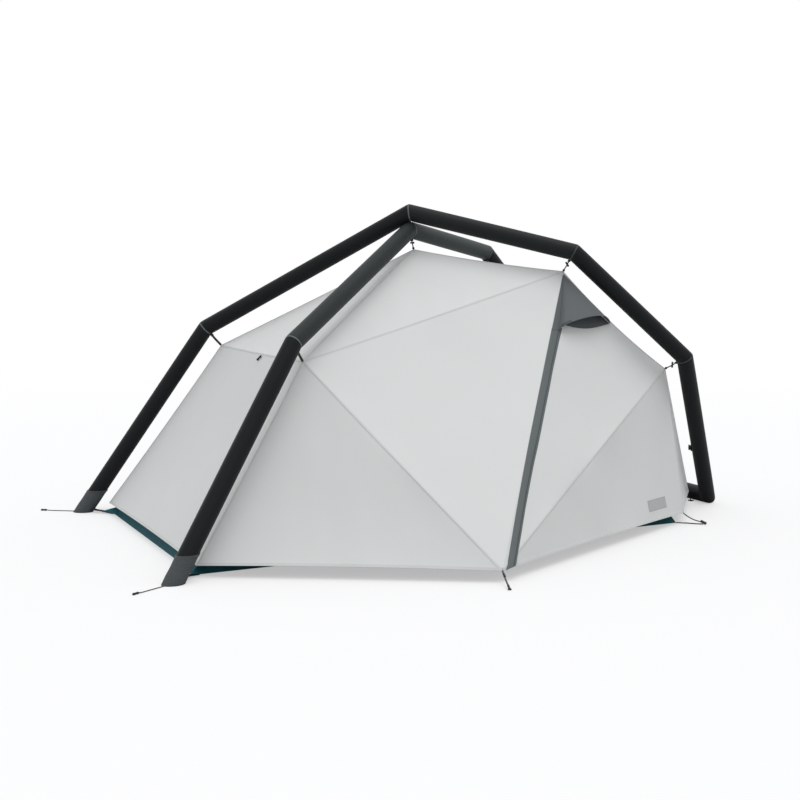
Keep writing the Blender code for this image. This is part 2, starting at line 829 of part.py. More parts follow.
def make_hook(name, elbow, bend, node):
    """A short cord with a cross bar and a bead, from the inner side of an elbow to the fly."""
    aim = (node - elbow).normalized()
    start = elbow + aim * (bend + GAP)
    bead = node - aim * (HOOK_BALL_RADIUS + GAP)
    length = (bead - start).length
    turn = aligned(aim, Vector((0, 1, 0)))
    cord = cylinder(HOOK_CORD_RADIUS, length, HOOK_SIDES, Matrix.Translation(start) @ turn)
    item = add_mesh_object(name, cord, HARDWARE_BLACK)
    end = cutter(name + "_bead", ball(HOOK_BALL_RADIUS, Matrix.Translation(bead) @ turn))
    combine(item, end, "UNION")
    middle = start.lerp(bead, HOOK_BAR_SHARE)
    across = turn.to_3x3() @ Vector((0, 1, 0))
    bar_start = middle - across * (HOOK_BAR_LENGTH / 2)
    bar = cylinder(
        HOOK_BAR_RADIUS,
        HOOK_BAR_LENGTH,
        HOOK_BAR_SIDES,
        Matrix.Translation(bar_start) @ aligned(across, aim + turn.to_3x3() @ Vector((1, 0, 0))),
    )
    combine(item, cutter(name + "_bar", bar), "UNION")


def hook_reach(points, index, aim):
    """How far the tube's surface lies from an elbow's centre in a direction."""
    axes = directions(points)
    reach = 0
    for axis in (axes[index - 1], axes[index]):
        sine = axis.cross(aim).length
        reach = max(reach, (TUBE_RADIUS + HOOK_CORD_RADIUS * abs(axis.dot(aim))) / sine)
    return reach


def make_hooks():
    """The hooks at the shoulders, brows, knees and crown."""
    stations = {
        "hook_shoulder_back": (ARCH_OVER, 1, "shoulder_back"),
        "hook_brow_front": (ARCH_OVER, 3, "brow_front"),
        "hook_knee_front": (ARCH_OVER, 4, "knee_front"),
        "hook_shoulder_front": (ARCH_UNDER, 1, "shoulder_front"),
        "hook_brow_back": (ARCH_UNDER, 3, "brow_back"),
        "hook_knee_back": (ARCH_UNDER, 4, "knee_back"),
        "hook_crown": (ARCH_UNDER, 2, "crown"),
    }
    for name, (points, index, corner) in stations.items():
        node = FLY_CORNERS[corner]
        aim = (node - points[index]).normalized()
        make_hook(name, points[index], hook_reach(points, index, aim), node)


# Inner tent

def floor_corners():
    """The floor's base corners on the ground and its rim corners, front left first."""
    base = [
        Vector((FLOOR_LEFT_X, -FLOOR_LEFT_DEPTH, 0)),
        Vector((FLOOR_RIGHT_X, -FLOOR_RIGHT_DEPTH, 0)),
        Vector((FLOOR_RIGHT_X, FLOOR_RIGHT_DEPTH, 0)),
        Vector((FLOOR_LEFT_X, FLOOR_LEFT_DEPTH, 0)),
    ]
    signs = [(1, 1), (-1, 1), (-1, -1), (1, -1)]
    rim = [
        point + Vector((x_sign * RIM_LEAN, y_sign * RIM_LEAN, RIM_HEIGHT))
        for point, (x_sign, y_sign) in zip(base, signs)
    ]
    return base, rim


def make_floor():
    """The tray floor: a base and four low leaning walls."""
    base, rim = floor_corners()
    bm = bmesh.new()
    low = [bm.verts.new(point) for point in base]
    high = [bm.verts.new(point) for point in rim]
    bm.faces.new(low[::-1])
    for index in range(len(low)):
        after = (index + 1) % len(low)
        bm.faces.new((low[index], low[after], high[after], high[index]))
    mesh_data = bpy.data.meshes.new("inner_floor")
    bm.to_mesh(mesh_data)
    bm.free()
    item = add_mesh_object("inner_floor", mesh_data, FLOOR_TEAL)
    shell = item.modifiers.new("thickness", "SOLIDIFY")
    shell.thickness = FLOOR_THICKNESS
    shell.offset = -1
    shell.use_even_offset = True


def inner_panels():
    """The four leaning walls of the inner tent, which meet along a ridge."""
    _, rim = floor_corners()
    seat = Vector((0, 0, INNER_SEAT))
    names = ("rim_left_front", "rim_right_front", "rim_right_back", "rim_left_back")
    corners = {name: point + seat for name, point in zip(names, rim)}
    corners["ridge_left"] = Vector((RIDGE_LEFT_X, 0, RIDGE_LEFT_HEIGHT))
    start = corners["rim_left_front"]
    normal = (corners["rim_right_front"] - start).cross(corners["ridge_left"] - start)
    run = (RIDGE_RIGHT_X - start.x) * normal.x - start.y * normal.y
    corners["ridge_right"] = Vector((RIDGE_RIGHT_X, 0, start.z - run / normal.z))
    panels = {
        "inner_wall_front": ("rim_left_front", "rim_right_front", "ridge_right", "ridge_left"),
        "inner_wall_back": ("rim_right_back", "rim_left_back", "ridge_left", "ridge_right"),
        "inner_end_left": ("rim_left_back", "rim_left_front", "ridge_left"),
        "inner_end_right": ("rim_right_front", "rim_right_back", "ridge_right"),
    }
    return PanelSet(corners, panels, INNER_THICKNESS, INSIDE_POINT)


def doorway(inner, side):
    """The four corners of the inner doorway on its wall, foot first, and the wall's axes."""
    corners = inner.corners
    start, end = corners[f"rim_left_{side}"], corners[f"rim_right_{side}"]
    along = (end - start).normalized()
    normal = inner.normals[f"inner_wall_{side}"]
    up = normal.cross(along)
    if up.z < 0:
        up = -up
    foot = start + along * ((DOORWAY_X - start.x) / along.x) + up * DOORWAY_FOOT_MARGIN
    half_foot = DOORWAY_FOOT_WIDTH / 2
    half_top = DOORWAY_TOP_WIDTH / 2
    head = foot + up * DOORWAY_LENGTH
    return [
        foot - along * half_foot,
        foot + along * half_foot,
        head + along * half_top,
        head - along * half_top,
    ]


def shrunk(points, gap):
    """Draw an outline's corners toward its middle by about the gap."""
    middle = sum(points, Vector()) / len(points)
    return [point + (middle - point).normalized() * (gap * math.sqrt(2)) for point in points]


def make_inner():
    """The inner walls, each long one with a doorway that its own door fills."""
    inner = inner_panels()
    for name in inner.panels:
        points = inner.outline(name)
        if name.startswith("inner_end"):
            cloth_panel(name, points, INNER_THICKNESS, INNER_WHITE)
            continue
        side = name.rsplit("_", 1)[1]
        hole = doorway(inner, side)
        wall = cloth_panel(name, points, INNER_THICKNESS, INNER_WHITE)
        normal = inner.normals[name]
        bm = bmesh.new()
        low = [bm.verts.new(point - normal * CUT_OVERRUN) for point in hole]
        high = [bm.verts.new(point + normal * CUT_OVERRUN) for point in hole]
        bm.faces.new(low)
        bm.faces.new(high)
        for index in range(len(low)):
            after = (index + 1) % len(low)
            bm.faces.new((low[index], low[after], high[after], high[index]))
        hole_cut = cutter(f"doorway_{side}", mesh_from(bm, f"doorway_{side}"))
        combine(wall, hole_cut, "DIFFERENCE")
        leaf = shrunk(hole, DOORWAY_GAP)
        facing = (leaf[1] - leaf[0]).cross(leaf[2] - leaf[0])
        if facing.dot(normal) < 0:
            leaf.reverse()
        door = cloth_panel(f"inner_door_{side}", leaf, INNER_THICKNESS, INNER_WHITE)
        set_origin(door, (hole[0] + hole[1]) / 2)


# Inflation valve

def valve_axis():
    """The valve's seat on the tube's centre line and the way it faces."""
    start, end = ARCH_OVER[-2], ARCH_OVER[-1]
    axis = (end - start).normalized()
    inward = Vector((-1, -start.y / abs(start.y), 0))
    facing = (inward - inward.dot(axis) * axis).normalized()
    return start.lerp(end, VALVE_SHARE), facing, axis


def make_valve(sleeves, air_chamber):
    """The valve body through both walls of the tube, and its hinged cap."""
    seat, facing, axis = valve_axis()
    turn = aligned(facing, axis)

    hole_place = Matrix.Translation(seat + facing * (TUBE_RADIUS - CUT_OVERRUN)) @ turn
    hole = cylinder(VALVE_STEM_RADIUS + VALVE_CLEARANCE, 2 * CUT_OVERRUN, VALVE_SIDES, hole_place)
    hole_cut = cutter("valve_hole", hole)
    combine(sleeves["sleeve_tail_front_right"], hole_cut, "DIFFERENCE")
    combine(air_chamber, hole_cut, "DIFFERENCE")

    base = seat + facing * (TUBE_RADIUS + GAP)
    flange = cylinder(
        VALVE_FLANGE_RADIUS, VALVE_FLANGE_THICKNESS, VALVE_SIDES, Matrix.Translation(base) @ turn
    )
    body = add_mesh_object("valve_body", flange, HARDWARE_BLACK)
    stem_base = base - facing * VALVE_STEM_DEPTH
    stem_height = VALVE_STEM_DEPTH + VALVE_FLANGE_THICKNESS + VALVE_COLLAR_HEIGHT
    stem = cylinder(
        VALVE_STEM_RADIUS, stem_height, VALVE_SIDES, Matrix.Translation(stem_base) @ turn
    )
    combine(body, cutter("valve_stem", stem), "UNION")
    bore_base = stem_base - facing * CUT_OVERRUN
    bore = cylinder(
        VALVE_BORE_RADIUS,
        stem_height + 2 * CUT_OVERRUN,
        VALVE_SIDES,
        Matrix.Translation(bore_base) @ turn,
    )
    combine(body, cutter("valve_bore", bore), "DIFFERENCE")

    collar_top = base + facing * (VALVE_FLANGE_THICKNESS + VALVE_COLLAR_HEIGHT)
    cap_base = collar_top + facing * GAP
    cap = cylinder(CAP_RADIUS, CAP_THICKNESS, VALVE_SIDES, Matrix.Translation(cap_base) @ turn)
    item = add_mesh_object("valve_cap", cap, HARDWARE_BLACK)
    lug_size = (CAP_LUG_LENGTH, CAP_LUG_WIDTH, CAP_THICKNESS)
    lug_reach = CAP_RADIUS + CAP_LUG_LENGTH * (CAP_LUG_SHARE - 1 / 2)
    lug_middle = cap_base + facing * (CAP_THICKNESS / 2) - axis * lug_reach
    lug = cutter("valve_cap_lug", box(lug_size, Matrix.Translation(lug_middle) @ turn))
    combine(item, lug, "UNION")
    set_origin(item, cap_base - axis * (CAP_RADIUS + CAP_LUG_LENGTH * CAP_LUG_SHARE))


# Peg tethers

def tether(name, route):
    """A cord along a route that ends in a thicker sleeved loop end."""
    tip_start = route[-1] + (route[-2] - route[-1]).normalized() * TETHER_TIP_LENGTH
    tip_start.z = max(tip_start.z, route[-1].z)
    widening = tip_start.lerp(route[-1], TETHER_RADIUS / TETHER_TIP_LENGTH)
    points = route[:-1] + [tip_start, widening, route[-1]]
    data = bpy.data.curves.new(name, "CURVE")
    data.dimensions = "3D"
    data.bevel_depth = TETHER_RADIUS
    data.bevel_resolution = 2
    data.use_fill_caps = True
    spline = data.splines.new("POLY")
    spline.points.add(len(points) - 1)
    for index, (target, point) in enumerate(zip(spline.points, points)):
        target.co = (*point, 1)
        target.radius = TETHER_TIP_FACTOR if index >= len(points) - 2 else 1
    item = bpy.data.objects.new(name, data)
    item.data.materials.append(CORD_GREY)
    TENT.objects.link(item)
    return item


def as_mesh(item):
    """Turn a cord's curve into a mesh object of the same name, so that it can be joined."""
    graph = bpy.context.evaluated_depsgraph_get()
    mesh_data = bpy.data.meshes.new_from_object(item.evaluated_get(graph))
    bm = bmesh.new()
    bm.from_mesh(mesh_data)
    bmesh.ops.remove_doubles(bm, verts=bm.verts[:], dist=GAP / 10)
    name = item.name
    bpy.data.objects.remove(item, do_unlink=True)
    return add_mesh_object(name, mesh_from(bm, name), CORD_GREY)


def boot_edge(points, target):
    """The point just outside a boot, at the cord's height, on the way to a peg."""
    axis = directions(points)[0]
    aim = target - points[0]
    aim.z = 0
    aim.normalize()
    outer = TUBE_RADIUS + GAP + BOOT_WALL
    plan = Vector((axis.x, axis.y, 0))
    lean = plan.length / axis.z
    plan.normalize()
    long_share = aim.dot(plan)
    short_share = math.sqrt(max(0, 1 - long_share * long_share))
    long_radius = outer * math.sqrt(1 + lean * lean)
    reach = 1 / math.hypot(long_share / long_radius, short_share / outer)
    start = points[0] + aim * (reach + GAP)
    start.z = TETHER_RADIUS
    return start


def make_tethers():
    """The six tethers that run to the pegs, the side ones with a branch from the floor's corner."""
    tip_height = TETHER_RADIUS * TETHER_TIP_FACTOR
    base, _ = floor_corners()
    floor_right = {"front": base[1], "back": base[2]}
    for side, sign, arch in (("back", 1, ARCH_OVER), ("front", -1, ARCH_UNDER)):
        peg = Vector((FOOT_PEG_X, sign * FOOT_PEG_DEPTH, tip_height))
        start = boot_edge(arch, peg)
        middle = start.lerp(peg, 1 / 2)
        middle.z = TETHER_RADIUS
        tether(f"tether_foot_{side}", [start, middle, peg])

        peg = Vector((PORCH_PEG_X, sign * PORCH_PEG_DEPTH, tip_height))
        start = cord_start(FLY_CORNERS[f"porch_{side}"], peg)
        tether(f"tether_porch_{side}", [start, start.lerp(peg, 1 / 2), peg])

        peg = Vector((SIDE_PEG_X, sign * SIDE_PEG_DEPTH, tip_height))
        start = cord_start(FLY_CORNERS[f"hem_right_{side}"], peg)
        item = as_mesh(tether(f"tether_side_{side}", [start, start.lerp(peg, 1 / 2), peg]))
        start = floor_right[side] + Vector((0, 0, TETHER_RADIUS))
        start = cord_start(start, Vector((peg.x, peg.y, start.z)))
        stretch = peg - start
        branch = cylinder(
            TETHER_RADIUS,
            stretch.length - TETHER_TIP_LENGTH / 2,
            TETHER_SIDES,
            Matrix.Translation(start) @ aligned(stretch),
        )
        combine(item, cutter(f"tether_side_{side}_branch", branch), "UNION")


def cord_start(corner, peg):
    """Where a cord starts, just clear of the corner that it pulls on."""
    return corner + (peg - corner).normalized() * GAP


def build():
    """Make every piece."""
    sleeves = make_sleeves()
    air_chamber = make_bladders()
    base, _ = floor_corners()
    make_boot("boot_back", ARCH_OVER, base[3])
    make_boot("boot_front", ARCH_UNDER, base[0])
    fly = make_fly()
    for side in ("front", "back"):
        door = DoorFrame(fly, side)
        make_zip_cover(door)
        make_hood(door)
        make_slider(door)
    make_hooks()
    make_floor()
    make_inner()
    make_valve(sleeves, air_chamber)
    make_tethers()


build()
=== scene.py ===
"""The looks of an inflatable tent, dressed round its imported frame.

Metres, +Z up, with the front porch at -Y and the taller end at -X. The fly is a taut sewn sheet that
hangs on hooks inside an outside frame of air tubes, over an inner tent with a tray floor. Each
sub-assembly is a class that builds its own pieces, and main() builds them in order.
"""

import logging
import math
from collections.abc import Callable, Iterator, Sequence
from contextlib import contextmanager
from dataclasses import dataclass, replace
from enum import Enum

import bmesh
import bpy
from mathutils import Matrix, Vector, noise


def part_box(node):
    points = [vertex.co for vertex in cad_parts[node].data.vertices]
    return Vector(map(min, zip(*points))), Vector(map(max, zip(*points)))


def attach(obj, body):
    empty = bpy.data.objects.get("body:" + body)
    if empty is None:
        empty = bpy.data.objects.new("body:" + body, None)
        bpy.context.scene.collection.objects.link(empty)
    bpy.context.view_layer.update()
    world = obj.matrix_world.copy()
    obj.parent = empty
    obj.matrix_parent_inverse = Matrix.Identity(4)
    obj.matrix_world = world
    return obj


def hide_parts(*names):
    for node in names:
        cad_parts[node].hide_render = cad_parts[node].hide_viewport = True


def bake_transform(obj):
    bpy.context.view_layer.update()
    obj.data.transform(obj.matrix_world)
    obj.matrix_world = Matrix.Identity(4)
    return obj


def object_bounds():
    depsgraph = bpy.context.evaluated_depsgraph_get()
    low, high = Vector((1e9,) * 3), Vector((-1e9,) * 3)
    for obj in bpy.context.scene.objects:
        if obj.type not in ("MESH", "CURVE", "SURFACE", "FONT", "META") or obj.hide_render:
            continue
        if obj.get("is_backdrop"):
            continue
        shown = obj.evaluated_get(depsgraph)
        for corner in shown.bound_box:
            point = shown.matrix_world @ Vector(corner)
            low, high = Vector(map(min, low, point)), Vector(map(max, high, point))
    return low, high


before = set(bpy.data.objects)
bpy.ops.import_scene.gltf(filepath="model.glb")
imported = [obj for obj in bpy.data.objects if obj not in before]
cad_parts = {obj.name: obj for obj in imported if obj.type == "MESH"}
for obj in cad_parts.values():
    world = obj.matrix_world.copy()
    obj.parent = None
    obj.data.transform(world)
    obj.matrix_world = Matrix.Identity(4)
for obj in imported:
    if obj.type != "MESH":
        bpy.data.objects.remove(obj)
CAD_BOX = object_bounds()
LOG = logging.getLogger("inflatable_tent")

MILLIMETRE = 0.001
GAP = 0.0003
UP = Vector((0, 0, 1))

# The sharpest edge, in degrees, that is still shaded smooth
CRISP = 30.0
FOLDED = 50.0
SOFT = 60.0


class Side(Enum):
    """The two mirrored sides of the tent, with the sign of their depth."""

    FRONT = -1
    BACK = 1

    @property
    def word(self) -> str:
        """The side's name in the frame's node names."""
        return self.name.lower()

    @property
    def other(self) -> "Side":
        """The side across the tent."""
        return Side(-self.value)

    def turn(self, point: Sequence[float]) -> Vector:
        """Put a point that is given for the front onto this side."""
        return Vector((point[0], -self.value * point[1], point[2]))


class Grain(Enum):
    """What a material's pattern follows."""

    OBJECT = "Object"
    PATTERN = "UV"


# Finishes


class Graph:
    """A small hand for wiring one material's nodes."""

    def __init__(self, name: str, grain: Grain, settings: dict[str, float]) -> None:
        """Start a material.

        Args:
            name: the material's name.
            grain: which coordinates its pattern follows.
            settings: the shader's plain values, by their sockets' names.
        """
        self.material = bpy.data.materials.new(name)
        self.material.use_nodes = True
        self.tree = self.material.node_tree
        self.shader = self.tree.nodes["Principled BSDF"]
        for socket, value in settings.items():
            self.shader.inputs[socket].default_value = value
        self.place = self.add("ShaderNodeTexCoord").outputs[grain.value]

    def add(self, kind: str, **settings: object) -> bpy.types.Node:
        """Add a node and set its properties.

        Args:
            kind: the node's Blender type.
            settings: property names and values.

        Returns:
            The new node.
        """
        node = self.tree.nodes.new(kind)
        for name, value in settings.items():
            setattr(node, name, value)
        return node

    def feed(self, socket: bpy.types.NodeSocket, value: object) -> None:
        """Link or set one input.

        Args:
            socket: the input.
            value: the output that feeds it, or its plain value.
        """
        if isinstance(value, bpy.types.NodeSocket):
            self.tree.links.new(value, socket)
        else:
            socket.default_value = value

    def math(self, operation: str, *values: object) -> bpy.types.NodeSocket:
        """One Math node.

        Args:
            operation: the Math node's operation.
            values: its inputs in order, numbers or sockets.

        Returns:
            The node's result.
        """
        node = self.add("ShaderNodeMath", operation=operation)
        for socket, value in zip(node.inputs, values):
            self.feed(socket, value)
        return node.outputs[0]

    def axes(self) -> tuple[bpy.types.NodeSocket, bpy.types.NodeSocket]:
        """The pattern's first and second coordinate, in metres."""
        split = self.add("ShaderNodeSeparateXYZ")
        self.feed(split.inputs[0], self.place)
        return split.outputs[0], split.outputs[1]

    def cloud(self, scale: float, detail: float = 2.0) -> bpy.types.NodeSocket:
        """Smooth noise from 0 to 1.

        Args:
            scale: how fine it is, per metre.
            detail: how many finer layers it has.

        Returns:
            The noise.
        """
        node = self.add("ShaderNodeTexNoise")
        self.feed(node.inputs["Vector"], self.place)
        self.feed(node.inputs["Scale"], scale)
        self.feed(node.inputs["Detail"], detail)
        return node.outputs["Fac"]

    def tint(self, share: object, first: object, second: object) -> None:
        """Mix the base colour between two tones.

        Args:
            share: how far towards the second tone, a socket.
            first: a tone, or the socket that gives it.
            second: the other tone.
        """
        mix = self.add("ShaderNodeMix", data_type="RGBA")
        self.feed(mix.inputs["Factor"], share)
        self.feed(mix.inputs["A"], first)
        self.feed(mix.inputs["B"], second)
        self.feed(self.shader.inputs["Base Color"], mix.outputs["Result"])

    def bump(self, height: object, distance: float, under: object = None) -> object:
        """Raise the surface by a height of 0 to 1 times a distance.

        Args:
            height: the height socket.
            distance: the full relief in metres.
            under: the normal of a coarser bump below this one.

        Returns:
            The bumped normal.
        """
        node = self.add("ShaderNodeBump")
        self.feed(node.inputs["Height"], height)
        self.feed(node.inputs["Distance"], distance)
        self.feed(node.inputs["Strength"], 1.0)
        if under is not None:
            self.feed(node.inputs["Normal"], under)
        self.feed(self.shader.inputs["Normal"], node.outputs["Normal"])
        return node.outputs["Normal"]


def toned(colour: Sequence[float], share: float) -> tuple[float, ...]:
    """A colour made darker or lighter by a share, with its alpha."""
    return (*(min(1.0, channel * share) for channel in colour[:3]), 1.0)


@dataclass(frozen=True)
class Woven:
    """Cloth or webbing with a plain weave, soft creases and uneven tone."""

    name: str
    colour: tuple[float, float, float]
    roughness: float = 0.75
    pitch: float = 0.0012
    relief: float = 0.00006
    crease_scale: float = 9.0
    crease_detail: float = 1.0
    crease_relief: float = 0.0016
    mottle: float = 0.05
    mottle_scale: float = 3.0
    mottle_detail: float = 4.0
    sheen: float = 0.15
    sheen_roughness: float = 0.5
    specular: float = 0.35
    ripstop: float = 0.0
    ripstop_share: float = 0.12
    stitch_rows: tuple[float, ...] = ()
    stitch_length: float = 0.0042
    stitch_share: float = 0.72
    stitch_width: float = 0.0007
    stitch_tone: float = 0.75

    def build(self) -> bpy.types.Material:
        """Make the material.

        Returns:
            The new material.
        """
        settings = {
            "Roughness": self.roughness,
            "Sheen Weight": self.sheen,
            "Sheen Roughness": self.sheen_roughness,
            "Specular IOR Level": self.specular,
        }
        graph = Graph(self.name, Grain.PATTERN, settings)
        dark, light = toned(self.colour, 1 - self.mottle), toned(self.colour, 1 + self.mottle)
        graph.tint(graph.cloud(self.mottle_scale, self.mottle_detail), dark, light)
        creased = graph.bump(graph.cloud(self.crease_scale, self.crease_detail), self.crease_relief)
        axes = graph.axes()
        turns = [graph.math("MULTIPLY", axis, 2 * math.pi / self.pitch) for axis in axes]
        waves = [graph.math("SINE", turn) for turn in turns]
        height = graph.math("MULTIPLY_ADD", graph.math("MULTIPLY", *waves), 0.5, 0.5)
        if self.ripstop:
            for axis in axes:
                cell = graph.math("FRACT", graph.math("DIVIDE", axis, self.ripstop))
                height = graph.math("ADD", height, graph.math("LESS_THAN", cell, self.ripstop_share))
        graph.bump(height, self.relief, creased)
        if self.stitch_rows:
            self.sew(graph, *axes, dark)
        return graph.material

    def sew(self, graph: Graph, along: object, across: object, dark: Sequence[float]) -> None:
        """Draw rows of stitches along the pattern's first axis.

        Args:
            graph: the material being wired.
            along: the coordinate along the row.
            across: the coordinate across the rows.
            dark: the cloth's darker tone.
        """
        dash = graph.math("FRACT", graph.math("DIVIDE", along, self.stitch_length))
        on_dash = graph.math("LESS_THAN", dash, self.stitch_share)
        rows = 0.0
        for row in self.stitch_rows:
            off = graph.math("ABSOLUTE", graph.math("SUBTRACT", across, row))
            rows = graph.math("ADD", rows, graph.math("LESS_THAN", off, self.stitch_width / 2))
        base = graph.shader.inputs["Base Color"].links[0].from_socket
        graph.tint(graph.math("MULTIPLY", rows, on_dash), base, toned(dark, self.stitch_tone))


@dataclass(frozen=True)
class Moulded:
    """Moulded plastic with a fine grain, and light wear in its tone and shine."""

    name: str
    colour: tuple[float, float, float]
    roughness: float = 0.42
    rougher: float = 0.10
    smoother: float = 0.06
    wear_scale: float = 60.0
    darkest: float = 0.85
    lightest: float = 1.2
    tone_scale: float = 30.0
    grain_scale: float = 900.0
    grain_relief: float = 0.00004

    def build(self) -> bpy.types.Material:
        """Make the material.

        Returns:
            The new material.
        """
        graph = Graph(self.name, Grain.OBJECT, {})
        tones = toned(self.colour, self.darkest), toned(self.colour, self.lightest)
        graph.tint(graph.cloud(self.tone_scale), *tones)
        span = graph.add("ShaderNodeMapRange")
        graph.feed(span.inputs["Value"], graph.cloud(self.wear_scale))
        graph.feed(span.inputs["To Min"], self.roughness - self.smoother)
        graph.feed(span.inputs["To Max"], self.roughness + self.rougher)
        graph.feed(graph.shader.inputs["Roughness"], span.outputs["Result"])
        graph.bump(graph.cloud(self.grain_scale), self.grain_relief)
        return graph.material


@dataclass(frozen=True)
class Braided:
    """Cord with a diagonal braid that follows its length, painted darker in its grooves and lighter on its
    crests.
    """

    name: str
    colour: tuple[float, float, float]
    fleck: tuple[float, float, float]
    roughness: float = 0.8
    pitch: float = 0.004
    around: float = 0.0126
    strands: int = 4
    shade: float = 0.7
    relief: float = 0.0002

    def build(self) -> bpy.types.Material:
        """Make the material.

        Returns:
            The new material.
        """
        graph = Graph(self.name, Grain.PATTERN, {"Roughness": self.roughness})
        along, across = graph.axes()
        waves = []
        for lean in (self.strands / self.around, -self.strands / self.around):
            turn = graph.math(
                "ADD", graph.math("DIVIDE", along, self.pitch), graph.math("MULTIPLY", across, lean)
            )
            waves.append(graph.math("SINE", graph.math("MULTIPLY", turn, 2 * math.pi)))
        weave = graph.math("MAXIMUM", *waves)
        # Grooves take the darkened tone and crests the lighter one: painted shade and highlight on the
        # braid
        graph.tint(weave, toned(self.colour, self.shade), toned(self.fleck, 1.0))
        graph.bump(weave, self.relief)
        return graph.material


Finish = Woven | Moulded | Braided


class Palette:
    """Every finish on the tent, made once and shared by name."""

    TUBE = Woven(
        "sleeve_black", (0.0085, 0.0095, 0.0105), roughness=0.45, pitch=0.0016, relief=0.00008,
        crease_scale=14.0, crease_relief=0.0010, mottle=0.12, mottle_scale=6.0, sheen=0.03, specular=0.12,
    )
    # Lighter copies of the black sleeve for the runs that catch the light: painted light on the same cloth
    TUBE_DUSK = replace(TUBE, name="sleeve_dusk", colour=(0.0140, 0.0153, 0.0163))
    TUBE_GREY = replace(TUBE, name="sleeve_grey", colour=(0.034, 0.042, 0.042), mottle=0.08)
    TUBE_SLATE = replace(TUBE_GREY, name="sleeve_slate", colour=(0.0205, 0.0252, 0.0252))
    FILM = Moulded("bladder_film", (0.60, 0.62, 0.60), roughness=0.35)
    WELD = Moulded(
        "weld_grey", (0.110, 0.117, 0.120), roughness=0.55, grain_scale=400.0, grain_relief=0.00006
    )
    WELD_DARK = replace(WELD, name="weld_dark", colour=(0.032, 0.035, 0.037))
    BOOT = Woven(
        "boot_weave", (0.072, 0.079, 0.082), roughness=0.85, pitch=0.0030, relief=0.00025,
        crease_scale=20.0, crease_relief=0.0012, mottle=0.35, mottle_scale=45.0, sheen=0.05, specular=0.15,
    )
    BOOT_EDGE = Woven("boot_binding", (0.052, 0.057, 0.060), roughness=0.80, pitch=0.0020, relief=0.00015)
    WEBBING = Woven(
        "strap_webbing", (0.016, 0.018, 0.019), roughness=0.80, pitch=0.0030, relief=0.00040,
        crease_scale=12.0, crease_relief=0.0004, sheen=0.05, specular=0.15,
    )
    FLY = Woven(
        "fly_cloth", (0.605, 0.610, 0.606), roughness=0.62, pitch=0.0009, relief=0.00004, crease_scale=5.0,
        crease_relief=0.0022, mottle=0.020, mottle_scale=1.6, sheen=0.05, specular=0.30, ripstop=0.0055,
    )
    SEAM = Woven(
        "fly_seam", (0.555, 0.562, 0.558), roughness=0.65, pitch=0.0009, relief=0.00004, crease_scale=30.0,
        crease_relief=0.0004, mottle=0.02, sheen=0.05, stitch_rows=(-0.0026, 0.0026),
    )
    HEM = Woven(
        "fly_hem", (0.550, 0.560, 0.557), roughness=0.68, pitch=0.0012, relief=0.00008, crease_scale=30.0,
        crease_relief=0.0006, mottle=0.03, sheen=0.05, stitch_rows=(0.0085,),
    )
    TRIM = Woven(
        "trim_cloth", (0.105, 0.115, 0.120), roughness=0.70, pitch=0.0010, relief=0.00006,
        crease_scale=10.0, crease_relief=0.0012, mottle=0.04, sheen=0.05, specular=0.25,
    )
    COVER = replace(
        TRIM, name="zip_cover_cloth", colour=(0.112, 0.128, 0.128), crease_relief=0.0014,
        stitch_rows=(0.0035, 0.0365, 0.0530),
    )
    # A darker copy of the trim: the hood's lip, and the painted shadow along the cover strip's flap
    LINING = Woven("hood_lining", (0.052, 0.060, 0.064), roughness=0.75, pitch=0.0010, relief=0.00006)
    MESH = Woven(
        "vent_mesh", (0.120, 0.130, 0.134), roughness=0.90, pitch=0.0022, relief=0.00060,
        crease_scale=20.0, crease_relief=0.0004, sheen=0.0, specular=0.10,
    )
    PATCH = Woven(
        "blank_patch", (0.385, 0.392, 0.390), roughness=0.60, pitch=0.0008, relief=0.00004,
        crease_scale=30.0, crease_relief=0.0003, mottle=0.03, stitch_rows=(-0.0215, 0.0215),
        stitch_width=0.0016, stitch_tone=0.70,
    )
    FLOOR = Woven(
        "floor_cloth", (0.019, 0.096, 0.118), roughness=0.50, pitch=0.0010, relief=0.00005,
        crease_scale=7.0, crease_relief=0.0030, mottle=0.10, mottle_scale=3.0, sheen=0.0, specular=0.05,
    )
    INNER = Woven(
        "inner_cloth", (0.66, 0.66, 0.64), roughness=0.85, pitch=0.0011, relief=0.00010, crease_scale=6.0,
        crease_relief=0.0030, mottle=0.03,
    )
    INNER_TAPE = Woven("inner_tape", (0.10, 0.115, 0.12), roughness=0.80, pitch=0.0015, relief=0.00010)
    ZIP = Braided("zip_coil", (0.020, 0.022, 0.024), (0.060, 0.065, 0.068), pitch=0.0022, around=0.0090)
    HARDWARE = Moulded("black_hardware", (0.010, 0.010, 0.011), roughness=0.40)
    CORD = Braided("peg_cord", (0.045, 0.048, 0.050), (0.110, 0.115, 0.118))
    HOOK_CORD = Braided("hook_cord", (0.014, 0.015, 0.016), (0.040, 0.042, 0.044))
    made: dict[str, bpy.types.Material] = {}

    @classmethod
    def get(cls, finish: Finish) -> bpy.types.Material:
        """The material of a finish, made on first use."""
        if finish.name not in cls.made:
            cls.made[finish.name] = finish.build()
        return cls.made[finish.name]


# Modelling helpers


def only(piece: bpy.types.Object) -> None:
    """Select one object alone and make it active."""
    bpy.ops.object.select_all(action="DESELECT")
    piece.select_set(True)
    bpy.context.view_layer.objects.active = piece


def settle(piece: bpy.types.Object, place: Matrix | None = None) -> bpy.types.Object:
    """Move an object to its place and apply that place to its mesh.

    Args:
        piece: the object.
        place: where its own axes go, or None to keep it where it is.

    Returns:
        The same object, now at the origin.
    """
    if place is not None:
        piece.matrix_world = place
    only(piece)
    bpy.ops.object.transform_apply(location=True, rotation=True, scale=True)
    return piece


